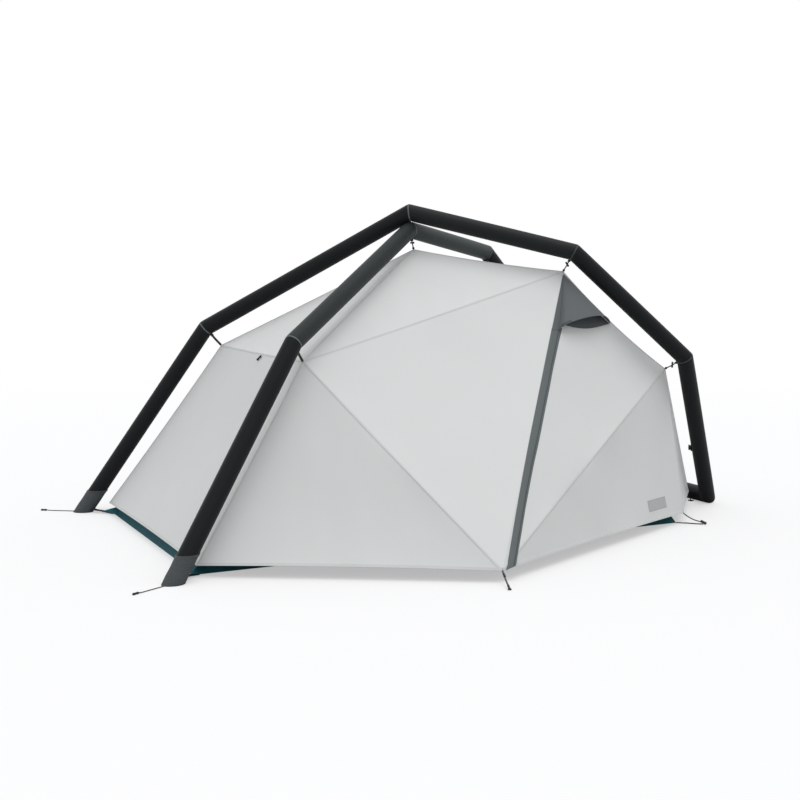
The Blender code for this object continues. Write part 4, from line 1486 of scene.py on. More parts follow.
class ClothPlan:
    """Named panels between named corners, with the pull of each seam."""

    SEED_STEP = 3.7

    def __init__(
        self,
        corners: dict[str, Vector],
        panels: dict[str, tuple[str, ...]],
        bellies: dict[str, float],
        fold_depth: float,
        pulls: dict[frozenset, tuple[float, str]] | None = None,
        hem_pull: float = 0.0,
    ) -> None:
        """Turn every panel outward and work out its seams' pulls.

        Args:
            corners: the corner points by name.
            panels: each panel's corner names.
            bellies: how deep a panel's middle sinks, by name, with the rest under "".
            fold_depth: the depth of the soft folds.
            pulls: how far the middle of a seam is drawn inward, and the panel in whose plane it
                is drawn, or "" to sink between both.
            hem_pull: how far the middle of a free edge is drawn up.
        """
        inside = mean(list(corners.values()))
        self.corners = corners
        self.drawn = pulls or {}
        self.hem_pull = hem_pull
        self.names: dict[str, tuple[str, ...]] = {}
        self.panels: dict[str, Panel] = {}
        for order, (name, names) in enumerate(panels.items()):
            first, second, third = (corners[item] for item in names[:3])
            if (second - first).cross(third - first).dot(first - inside) < 0:
                names = names[::-1]
            points = [corners[item] for item in names]
            belly = bellies.get(name, bellies[""])
            self.names[name] = names
            self.panels[name] = Panel(points, belly, fold_depth, self.SEED_STEP * order)
        for name, names in self.names.items():
            edges = zip(names, names[1:] + names[:1])
            self.panels[name].pulls = [self.pull(self.panels[name], *edge) for edge in edges]

    def pull(self, panel: Panel, start: str, end: str) -> Vector:
        """How far and which way the middle of an edge is drawn.

        Args:
            panel: the panel that the edge belongs to.
            start: the corner where it starts.
            end: the corner where it ends.

        Returns:
            The pull.
        """
        beside = self.beside(start, end)
        along = (self.corners[end] - self.corners[start]).normalized()
        depth, plane = self.drawn.get(frozenset((start, end)), (0.0, ""))
        if len(beside) < 2:
            return panel.normal.cross(along) * self.hem_pull
        if plane:
            return self.panels[plane].into(self.corners[start], along) * depth
        return -sum((near.normal for near in beside), Vector()).normalized() * depth

    def beside(self, start: str, end: str, skip: str = "") -> list[Panel]:
        """The one or two panels along an edge."""
        names = [n for n, corners in self.names.items() if {start, end} <= set(corners)]
        return [self.panels[name] for name in names if name != skip]

    def area(self, members: Sequence[str]) -> float:
        """The flat area of some panels."""
        return sum(self.panels[name].area() for name in members)

    def sheet(self, name: str, members: Sequence[str], cells: int, thickness: float) -> bpy.types.Object:
        """Sew some panels into one continuous cloth piece.

        Args:
            name: the object's name.
            members: the panels' names.
            cells: how many cells each side of a panel has.
            thickness: the cloth's thickness.

        Returns:
            The new object.
        """
        cutting = Cutting()
        for member in members:
            self.panels[member].cut_into(cutting, cells)
        return cutting.finish(name, thickness)

    def edge(
        self, name: str, edges: Sequence[tuple[str, str]], edging: Edging, skip: str = ""
    ) -> bpy.types.Object:
        """Lay a strip over some edges, all in one piece.

        Args:
            name: the object's name.
            edges: the corners where each edge starts and ends.
            edging: the strip.
            skip: a panel that the strip doesn't lie on.

        Returns:
            The new object.
        """
        cutting = Cutting()
        for start, end in edges:
            panels = self.beside(start, end, skip)
            first, last = self.corners[start], self.corners[end]
            length = (last - first).length
            along = (last - first).normalized()
            lines = []
            for across, lift in edging.profile:
                panel = panels[0] if across <= 0 else panels[-1]
                lines.append((panel, panel.into(first, along) * abs(across), lift))
            rows, flats = [], []
            for step in shares(edging.steps):
                share = edging.inset + (1 - 2 * edging.inset) * step
                foot = first.lerp(last, share)
                rows.append([panel.over(foot + inward, lift) for panel, inward, lift in lines])
                flats.append([(length * share, across) for across, _ in edging.profile])
            outward = sum((panel.normal for panel in panels), Vector())
            cutting.grid(*turned(rows, flats, -outward))
        return cutting.finish(name, edging.thickness, edging.offset)


@dataclass
class FloorPlan:
    """The tray floor's corners, its left end first."""

    ends: dict[str, tuple[float, float]]
    rim_height: float = 0.090
    rim_lean: float = 0.050

    def base_corner(self, end: str, side: Side) -> Vector:
        """A corner of the base, at the left or right end."""
        x, depth = self.ends[end]
        return Vector((x, side.value * depth, 0))

    def rim_corner(self, end: str, side: Side) -> Vector:
        """The corner of the rim above a base corner."""
        lean = self.rim_lean if end == "left" else -self.rim_lean
        return self.base_corner(end, side) + Vector((lean, -side.value * self.rim_lean, self.rim_height))


FLOOR = FloorPlan({"left": (-1.297, 0.690), "right": (0.983, 0.589)})


# The fly


@dataclass
class Fly:
    """The outer cloth: one sewn shell, a door on each side, and the tapes and patches on them."""

    thickness: float = 0.0006
    cells: int = 44
    longer: float = 1.6
    fold_depth: float = 0.014
    hem_pull: float = 0.006
    hinge_reach: float = 0.11
    patch_heights: tuple[float, float] = (0.045, 0.095)
    patch_reaches: tuple[float, float] = (0.142, 0.307)
    patch_lift: float = 0.0008
    patch_thickness: float = 0.0005
    toggle_lift: float = 0.006
    toggle_radius: float = 0.0042

    CROWN = (-0.0629, 0.0, 1.238)
    FRONT_CORNERS = {
        "shoulder": (-0.8059, -0.5477, 0.7905),
        "brow": (0.5108, -0.356, 1.140),
        "knee": (0.9852, -0.476, 0.6958),
        "hem_left": (-1.3094, -0.735, 0.045),
        "porch": (-0.297, -1.290, 0.045),
        "hem_right": (1.0133, -0.600, 0.045),
        "tail": (1.3808, -0.135, 0.045),
    }
    MIDDLE_PANELS = {
        "fly_roof_left": ("crown", "shoulder_back", "shoulder_front"),
        "fly_roof_middle": ("crown", "brow_front", "brow_back"),
        "fly_roof_right": ("brow_front", "knee_front", "knee_back", "brow_back"),
        "fly_end_left": ("shoulder_front", "shoulder_back", "hem_left_back", "hem_left_front"),
        "fly_end_right": ("knee_front", "tail_front", "tail_back", "knee_back"),
    }
    SIDE_PANELS = {
        "fly_roof_{0}": ("crown", "shoulder_{0}", "brow_{0}"),
        "fly_porch_{0}_upper": ("shoulder_{0}", "porch_{0}", "brow_{0}"),
        "fly_porch_{0}_lower": ("shoulder_{0}", "hem_left_{0}", "porch_{0}"),
        "door_{0}_upper": ("brow_{0}", "porch_{0}", "knee_{0}"),
        "door_{0}_lower": ("knee_{0}", "porch_{0}", "hem_right_{0}"),
        "fly_corner_{0}": ("knee_{0}", "hem_right_{0}", "tail_{0}"),
    }
    MIDDLE_PULLS = {"shoulder": 0.004, "brow": 0.008, "knee": 0.008}
    SIDE_PULLS = {
        ("crown", "brow_{0}"): (0.016, "fly_roof_{0}"),
        ("crown", "shoulder_{0}"): (0.006, "fly_roof_left"),
        ("shoulder_{0}", "brow_{0}"): (0.004, ""),
        ("shoulder_{0}", "porch_{0}"): (0.004, ""),
        ("shoulder_{0}", "hem_left_{0}"): (0.004, ""),
        ("brow_{0}", "knee_{0}"): (0.028, "door_{0}_upper"),
        ("knee_{0}", "tail_{0}"): (0.008, "fly_corner_{0}"),
        ("knee_{0}", "porch_{0}"): (0.004, ""),
    }
    BELLIES = {
        "": 0.006,
        "fly_end_left": 0.014,
        "fly_end_right": 0.016,
        "fly_roof_right": 0.010,
        "fly_porch_{0}_lower": 0.014,
        "fly_porch_{0}_upper": 0.010,
        "door_{0}_upper": 0.010,
        "door_{0}_lower": 0.010,
    }
    TOGGLE_ENDS = ((-0.8370, -0.0340, 0.7700), (-0.8240, -0.0545, 0.7890))

    def plan(self) -> ClothPlan:
        """The hung shape of every panel.

        Returns:
            The plan.
        """
        corners = {"crown": Vector(self.CROWN)}
        panels = dict(self.MIDDLE_PANELS)
        pulls = {frozenset((f"{k}_front", f"{k}_back")): (v, "") for k, v in self.MIDDLE_PULLS.items()}
        bellies = {}
        for side in Side:
            word = side.word
            for name, point in self.FRONT_CORNERS.items():
                corners[f"{name}_{word}"] = side.turn(point)
            for name, names in self.SIDE_PANELS.items():
                panels[name.format(word)] = tuple(item.format(word) for item in names)
            for ends, (depth, plane) in self.SIDE_PULLS.items():
                pulls[frozenset(end.format(word) for end in ends)] = (depth, plane.format(word))
            for name, depth in self.BELLIES.items():
                bellies[name.format(word)] = depth
        return ClothPlan(corners, panels, bellies, self.fold_depth, pulls, self.hem_pull)

    def build(self, plan: ClothPlan) -> None:
        """Make the shell, the doors and everything sewn to them.

        Args:
            plan: the hung shape of every panel.
        """
        self.build_shell(plan)
        for side in Side:
            self.build_door(plan, side)
            self.build_patch(plan, side)
        panel = plan.panels["fly_end_left"]
        start, end = (panel.over(Vector(point), self.toggle_lift) for point in self.TOGGLE_ENDS)
        toggle = rounded_bar(start, end, self.toggle_radius)
        dress(toggle, "end_toggle", Palette.HARDWARE)

    def build_shell(self, plan: ClothPlan) -> None:
        """The part of the fly that doesn't move, in one piece, with its tapes and bindings.

        Args:
            plan: the hung shape of every panel.
        """
        members = [n for n in plan.names if not n.startswith("door") and "corner" not in n]
        shell = plan.sheet("fly_shell", members, self.cells, self.thickness)
        dress(shell, "fly_shell", Palette.FLY, members, smooth=SOFT)
        plan.area(members)

        seams = []
        for side in Side:
            for ends in list(self.SIDE_PULLS)[:-1]:
                seams.append([end.format(side.word) for end in ends])
        seams += [(f"{name}_front", f"{name}_back") for name in self.MIDDLE_PULLS]
        dress(plan.edge("seams", seams, SEAM_TAPE), "fly_seams", Palette.SEAM)

        hems = [("hem_left_front", "hem_left_back"), ("tail_front", "tail_back")]
        hems += [(f"hem_left_{side.word}", f"porch_{side.word}") for side in Side]
        dress(plan.edge("hems", hems, HEM_BINDING), "fly_hem_binding", Palette.HEM)
        LOG.info("fly shell made")

    def build_door(self, plan: ClothPlan, side: Side) -> None:
        """One door with the corner panel that its cloth runs on into, and its tape and binding.

        Args:
            plan: the hung shape of every panel.
            side: the side of the door.
        """
        word = side.word
        knee, porch, hem, tail = (f"{name}_{word}" for name in ("knee", "porch", "hem_right", "tail"))
        members = [f"door_{word}_upper", f"door_{word}_lower", f"fly_corner_{word}"]
        door = plan.sheet("door", members, self.cells, self.thickness)
        self.bend(plan, door, Palette.FLY, f"door_{word}_cloth", side, members)
        plan.area(members)
        seam = plan.edge("seam", [(knee, porch)], SEAM_TAPE)
        self.bend(plan, seam, Palette.SEAM, f"door_{word}_seam", side)
        binding = plan.edge("binding", [(porch, hem), (hem, tail)], HEM_BINDING)
        self.bend(plan, binding, Palette.HEM, f"door_{word}_hem", side)
        LOG.info("%s door made", word)

    def bend(
        self,
        plan: ClothPlan,
        piece: bpy.types.Object,
        finish: Woven,
        name: str,
        side: Side,
        nodes: Sequence[str] = (),
    ) -> None:
        """Dress a door's cloth piece on no body, with its place applied to its mesh.

        Args:
            plan: the hung shape of every panel.
            piece: the object.
            finish: what it is made of.
            name: its name.
            side: the side of the door.
            nodes: the frame's nodes that it stands for.
        """
        corners = (plan.corners[f"{name}_{side.word}"] for name in ("knee", "hem_right", "porch"))
        knee, hem, porch = corners
        start = knee.lerp(hem, 0.5)
        dress(piece, name, finish, nodes, body=None, smooth=SOFT)
        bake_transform(piece)

    def build_patch(self, plan: ClothPlan, side: Side) -> None:
        """A blank sewn patch low on the door, near its hinge.

        Args:
            plan: the hung shape of every panel.
            side: the side of the door.
        """
        panel = plan.panels[f"door_{side.word}_lower"]
        hem, porch = plan.corners[f"hem_right_{side.word}"], plan.corners[f"porch_{side.word}"]
        along = (porch - hem).normalized()
        low, high = self.patch_heights
        near, far = self.patch_reaches
        reaches = [near + (far - near) * share for share in shares(16)]
        rows, flats = [], []
        for share in shares(6):
            height = low + (high - low) * share
            foot = hem + panel.slope * height
            rows.append([panel.over(foot + along * reach, self.patch_lift) for reach in reaches])
            flats.append([(reach, height - (low + high) / 2) for reach in reaches])
        patch = sewn("patch", rows, flats, panel.normal, self.patch_thickness)
        body = f"door_{side.word}"
        dress(patch, body + "_patch", Palette.PATCH, body=body)


# Door fittings


@dataclass
class DoorFittings:
    """The zip with its cover strip and slider, and the vent hood, on one door."""

    plan: ClothPlan
    side: Side
    cover_steps: int = 120
    cover_head_width: float = 0.056
    cover_foot_width: float = 0.040
    cover_thickness: float = 0.0010
    cover_tuck: float = 0.010
    cover_slant: float = 0.054
    cover_foot: float = 0.012
    cover_cut: float = 0.045
    cover_drift: float = 0.016
    cover_drift_start: float = 0.57
    cover_flat_length: float = 0.020
    cover_flat_share: float = 0.2
    cover_ripple: float = 0.35
    cover_ripples: tuple[float, float] = (14.0, 2.0)
    cover_seed: float = 2.0
    cover_piping_share: float = 0.755
    cover_piping_radius: float = 0.0015
    hood_side: float = 0.002
    hood_top: float = 0.014
    hood_zip: float = 0.360
    hood_seam: float = 0.310
    hood_rise: float = 0.072
    hood_sweep: float = -0.014
    hood_seat: float = 0.002
    hood_flat_share: float = 0.12
    hood_dome: float = 0.006
    hood_thickness: float = 0.0012
    hood_piping_radius: float = 0.0019
    hood_columns: int = 60
    hood_rows: int = 24
    lip_depth: float = 0.010
    lip_thickness: float = 0.0008
    vent_cells: int = 28
    vent_margin: float = 0.003
    vent_start_share: float = 0.20
    vent_rise: float = 0.028
    vent_sag: float = 0.012
    vent_lift: float = 0.0010
    vent_thickness: float = 0.0005
    coil_radius: float = 0.0021
    coil_head: float = 0.04
    coil_foot: float = 0.03
    coil_inset: float = 0.0035
    coil_sink: float = 0.0036
    slider_start: float = 0.050
    slider_size: tuple[float, float, float] = (0.022, 0.012, 0.005)
    slider_seat: float = 0.0018
    slider_waist: float = 0.72
    slider_skew: float = 0.6
    puller_size: tuple[float, float, float] = (0.030, 0.008, 0.0016)
    puller_drop: float = 0.015
    puller_seat: float = 0.0024
    puller_rim: float = 0.0016
    puller_sink: float = 0.0004

    COVER_PROFILE = (
        (0.00, 0.0003), (0.02, 0.0014), (0.07, 0.0027), (0.18, 0.0038), (0.36, 0.0043), (0.54, 0.0038),
        (0.66, 0.0025), (0.715, 0.0012), (0.74, 0.0009), (0.80, 0.0009), (0.88, 0.0012), (0.97, 0.0011),
        (1.00, 0.0003),
    )

    def __post_init__(self) -> None:
        """Work out the directions on the flat upper part of the door, and the hood's corners."""
        word = self.side.word
        corners = (self.plan.corners[f"{name}_{word}"] for name in ("brow", "porch", "knee"))
        self.brow, self.porch, knee = corners
        self.body = f"door_{word}"
        self.panel = self.plan.panels[f"door_{word}_upper"]
        self.fixed = self.plan.panels[f"fly_porch_{word}_upper"]
        self.down = (self.porch - self.brow).normalized()
        self.zip_length = (self.porch - self.brow).length
        self.seam = (knee - self.brow).normalized()
        self.across = (self.seam - self.seam.dot(self.down) * self.down).normalized()
        seam_in = self.panel.into(self.brow, self.seam)
        slant = self.hood_side * self.seam.dot(self.down) / self.seam.dot(self.across)
        self.head = slant + self.hood_top / seam_in.dot(self.down)
        self.top = self.brow + self.down * self.head + self.across * self.hood_side
        self.zip_end = self.top + self.down * self.hood_zip
        self.seam_end = self.top + self.seam * self.hood_seam
        self.away = ((self.zip_end + self.seam_end) / 2 - self.top).normalized()

    def build(self) -> None:
        """Make the fittings of this door."""
        self.build_cover()
        self.build_hood()
        self.build_vent()
        self.build_zip()
        self.build_slider()
        LOG.info("%s door fittings made", self.side.word)

    def cover_point(self, share: float, across_share: float, lift: float) -> Vector:
        """A point over the zip's cover strip.

        Args:
            share: how far down the strip.
            across_share: how far across it, from the zip.
            lift: how high above the door's cloth.

        Returns:
            The point.
        """
        head = self.head + self.hood_zip - self.cover_tuck - self.cover_slant * across_share
        foot = self.zip_length - self.cover_foot - self.cover_cut * across_share
        down = head + (foot - head) * share
        late = max(0.0, down / self.zip_length - self.cover_drift_start) / (1 - self.cover_drift_start)
        width = self.cover_head_width + (self.cover_foot_width - self.cover_head_width) * share
        across = GAP + self.cover_drift * late**1.5 + width * across_share
        per_down, per_across = self.cover_ripples
        place = Vector((down * per_down, across_share * per_across, self.cover_seed))
        ripple = 1 + self.cover_ripple * noise.noise(place)
        rising = (1 - self.cover_flat_share) * (down - head) / self.cover_flat_length
        ripple *= min(1.0, self.cover_flat_share + rising)
        return self.panel.over(self.brow + self.down * down + self.across * across, GAP + lift * ripple)

    def build_cover(self) -> None:
        """The strip over the zip: a tape with a padded flap, slanting at its foot, and a dark cord along
        the flap's edge that paints the shadow beneath the flap.
        """
        length = self.zip_length - self.head - self.hood_zip
        steps = shares(self.cover_steps)
        rows = [[self.cover_point(step, *line) for line in self.COVER_PROFILE] for step in steps]
        lines = [self.cover_head_width * across for across, _ in self.COVER_PROFILE]
        flats = [[(length * step, line) for line in lines] for step in steps]
        strip = sewn("strip", rows, flats, self.panel.normal, self.cover_thickness)
        node = f"zip_cover_{self.side.word}"
        dress(strip, node + "_strip", Palette.COVER, [node], self.body, FOLDED)

        # A dark cord in the groove by the flap's edge: painted shadow beneath the flap
        share, radius = self.cover_piping_share, self.cover_piping_radius
        line = [self.cover_point(0.004 + 0.992 * step, share, radius) for step in steps]
        piping = tube_along("piping", line, radius, 8)
        dress(piping, node + "_piping", Palette.LINING, (), self.body, SOFT)

    def hood_point(self, share: float, reach: float, sink: float = 0.0) -> Vector:
        """A point of the hood, whose two straight edges follow the hung cloth.

        Args:
            share: how far from its zip edge to its seam edge.
            reach: how far from its top to its rim.
            sink: how far towards the top and the door to turn in.

        Returns:
            The point.
        """
        near = self.panel.over(self.top.lerp(self.zip_end, reach), self.hood_seat)
        far = self.panel.over(self.top.lerp(self.seam_end, reach), self.hood_seat)
        raised = max(0.0, share - self.hood_flat_share) / (1 - self.hood_flat_share)
        bulge = math.sin(math.pi * raised) ** (0.40 + 0.45 * raised)
        dome = self.hood_dome * math.sin(math.pi * share) * math.sin(math.pi * reach)
        point = near.lerp(far, share)
        point += self.panel.normal * (self.hood_rise * bulge * reach + dome - sink * bulge / 2)
        return point + self.away * (self.hood_sweep * bulge * reach - sink * min(1.0, bulge * 3))

    def build_hood(self) -> None:
        """The vent hood: a taut cone with a turned-in lip and a piped rim."""
        node = f"vent_hood_{self.side.word}"
        outward = self.panel.normal
        girth = (self.zip_end - self.seam_end).length
        columns = shares(self.hood_columns)
        rows, flats = [], []
        for step in shares(self.hood_rows):
            reach = 0.02 + 0.98 * step
            rows.append([self.hood_point(column, reach) for column in columns])
            flats.append([(self.hood_zip * reach, girth * reach * column) for column in columns])
        hood = sewn("hood", rows, flats, outward, self.hood_thickness)
        dress(hood, node + "_shell", Palette.TRIM, [node], self.body, FOLDED)

        sinks = [self.lip_depth * share for share in shares(3)]
        rows = [[self.hood_point(column, 1.0, sink) for column in columns] for sink in sinks]
        flats = [[(girth * column, sink) for column in columns] for sink in sinks]
        lip = sewn("lip", rows, flats, outward, self.lip_thickness)
        dress(lip, node + "_lip", Palette.LINING, (), self.body, FOLDED)

        rim = [self.hood_point(0.01 + 0.98 * column, 1.0) for column in columns]
        piping = tube_along("piping", rim, self.hood_piping_radius)
        dress(piping, node + "_piping", Palette.TRIM, (), self.body, SOFT)

    def build_vent(self) -> None:
        """The mesh window in the door under the hood."""
        seam_inset = (self.zip_end - self.seam_end).normalized() * self.vent_margin
        corners = [
            self.top + self.away * self.cover_head_width,
            self.zip_end.lerp(self.seam_end, self.vent_start_share),
            self.seam_end + seam_inset,
        ]
        count = self.vent_cells
        rows, flats = [], []
        for i in range(count + 1):
            row = []
            for j in range(i + 1):
                weights = (1 - i / count, (i - j) / count, j / count)
                share = j / i if i else 0.5
                drop = self.vent_sag * math.sin(math.pi * share) - self.vent_rise * (1 - share) ** 3
                point = sum((w * c for w, c in zip(weights, corners)), Vector())
                row.append(point + self.away * (drop * i / count))
            rows.append([self.panel.over(point, self.vent_lift) for point in row])
            flats.append([self.panel.flat(point) for point in row])
        first, last = rows[-1][0] - rows[0][0], rows[-1][-1] - rows[0][0]
        if first.cross(last).dot(self.panel.normal) < 0:
            rows = [row[::-1] for row in rows]
            flats = [flat[::-1] for flat in flats]
        cutting = Cutting()
        cutting.wedge(rows, flats)
        vent = cutting.finish("vent", self.vent_thickness)
        dress(vent, f"vent_mesh_{self.side.word}", Palette.MESH, body=self.body)

    def build_zip(self) -> None:
        """The two halves of the zip's coil, on the fixed edge and on the door's edge."""
        run = self.zip_length - self.coil_head - self.coil_foot
        downs = [self.coil_head + run * share for share in shares(60)]
        for panel, body, word in ((self.fixed, "tent", "fixed"), (self.panel, self.body, "door")):
            edge = self.brow + panel.into(self.brow, self.down) * self.coil_inset
            path = [panel.over(edge + self.down * down, -self.coil_sink) for down in downs]
            coil = tube_along("coil", path, self.coil_radius, 8)
            name = f"zip_coil_{self.side.word}_{word}"
            dress(coil, name, Palette.ZIP, body=body, smooth=SOFT)

    def build_slider(self) -> None:
        """The zip's slider with a puller, where the frame has it."""
        node = f"zip_slider_{self.side.word}"
        low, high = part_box(node)
        inside = -(self.panel.normal + self.fixed.normal).normalized()
        start = self.porch - self.down * self.slider_start
        depth = ((low + high) / 2 - start).dot(inside)
        body = block(self.slider_size)
        ring(body, Vector((1, 0, 0)), 4)
        half_turn = math.pi / self.slider_size[0]
        for vertex in body.data.vertices:
            swell = abs(math.cos(vertex.co.x * half_turn - self.slider_skew))
            vertex.co.y *= self.slider_waist + (1 - self.slider_waist) * swell
        ease(body, 0.0008)
        settle(body, placed(start + inside * (depth - self.slider_seat), inside, self.down))
        dress(body, node + "_body", Palette.HARDWARE, [node], node)

        tab = block(self.puller_size)
        with editing(tab) as bm:
            choose(tab, bm.faces, lambda face: abs(face.normal.z) > 0.5)
            bpy.ops.mesh.inset(thickness=self.puller_rim, depth=0.0)
            bpy.ops.mesh.inset(thickness=self.puller_sink, depth=-self.puller_sink)
        ease(tab, self.puller_sink)
        place = start + inside * (depth + self.puller_seat) + self.down * self.puller_drop
        settle(tab, placed(place, inside, self.down))
        dress(tab, node + "_puller", Palette.HARDWARE, body=node)


# Hooks


@dataclass
class Hooks:
    """The short cords with toggles that hang the fly from the tubes' elbows."""

    plan: ClothPlan
    cord_radius: float = 0.0026
    plain_radius: float = 0.0054
    cord_sag: float = 0.0015
    cord_root: float = 0.002
    bar_radius: float = 0.0046
    bar_length: float = 0.030
    bar_share: float = 0.45
    bead_radius: float = 0.0058
    bead_reach: float = 0.006
    bead_face: float = 0.0038
    bead_rim: float = 0.0008
    tab_width: float = 0.014
    tab_thickness: float = 0.0012
    tab_reaches: tuple[float, float, float] = (-0.004, 0.008, 0.013)

    def build(self) -> None:
        """Make every hook."""
        for side in (Side.BACK, Side.FRONT):
            line = PLAN.arch(side)
            self.hook(f"shoulder_{side.word}", line, 1, toggle=False)
            self.hook(f"brow_{side.other.word}", line, 3)
            self.hook(f"knee_{side.other.word}", line, 4)
        self.hook("crown", PLAN.arch(Side.FRONT), 2)
        LOG.info("hooks made")

    def hook(self, corner: str, line: Sequence[Vector], index: int, toggle: bool = True) -> None:
        """One hook, from a webbing tab on the elbow to a bead at the fly's corner.

        Args:
            corner: the fly's corner that it holds.
            line: the corner points of the tube that it hangs from.
            index: the elbow's place on that line.
            toggle: whether it has a cross bar, or is a plain thick cord.
        """
        node = f"hook_{corner}"
        elbow, target = line[index], self.plan.corners[corner]
        aim = (target - elbow).normalized()
        axes = [(near - elbow).normalized() for near in (line[index - 1], line[index + 1])]
        start = elbow + aim * max(PLAN.radius / axis.cross(aim).length for axis in axes)
        bead = target - aim * self.bead_reach
        across = aim.cross(Vector((0, 1, 0)).cross(aim)).normalized()
        middle = start.lerp(bead, 0.5) - UP * self.cord_sag
        path = smooth_path([start - aim * self.cord_root, middle, bead])
        cord = tube_along("cord", path, self.cord_radius if toggle else self.plain_radius)
        dress(cord, node + "_cord", Palette.HOOK_CORD, [node], smooth=SOFT)

        if toggle:
            middle = start.lerp(bead, self.bar_share)
            half = across * (self.bar_length / 2)
            bar = rounded_bar(middle - half, middle + half, self.bar_radius)
            dress(bar, node + "_toggle", Palette.HARDWARE)

        add = bpy.ops.mesh.primitive_uv_sphere_add
        knob = added(add, segments=24, ring_count=12, radius=self.bead_radius)
        with editing(knob) as bm:
            choose(knob, bm.faces, lambda face: face.calc_center_median().z > self.bead_face)
            bpy.ops.mesh.inset(thickness=self.bead_rim, depth=-self.bead_rim)
        settle(knob, placed(bead, -aim))
        dress(knob, node + "_bead", Palette.HARDWARE)

        path = smooth_path([start + aim * reach for reach in self.tab_reaches], 4)
        tab = webbing("tab", path, self.tab_width, self.tab_thickness, across)
        dress(tab, node + "_tab", Palette.WEBBING)


# Inner tent


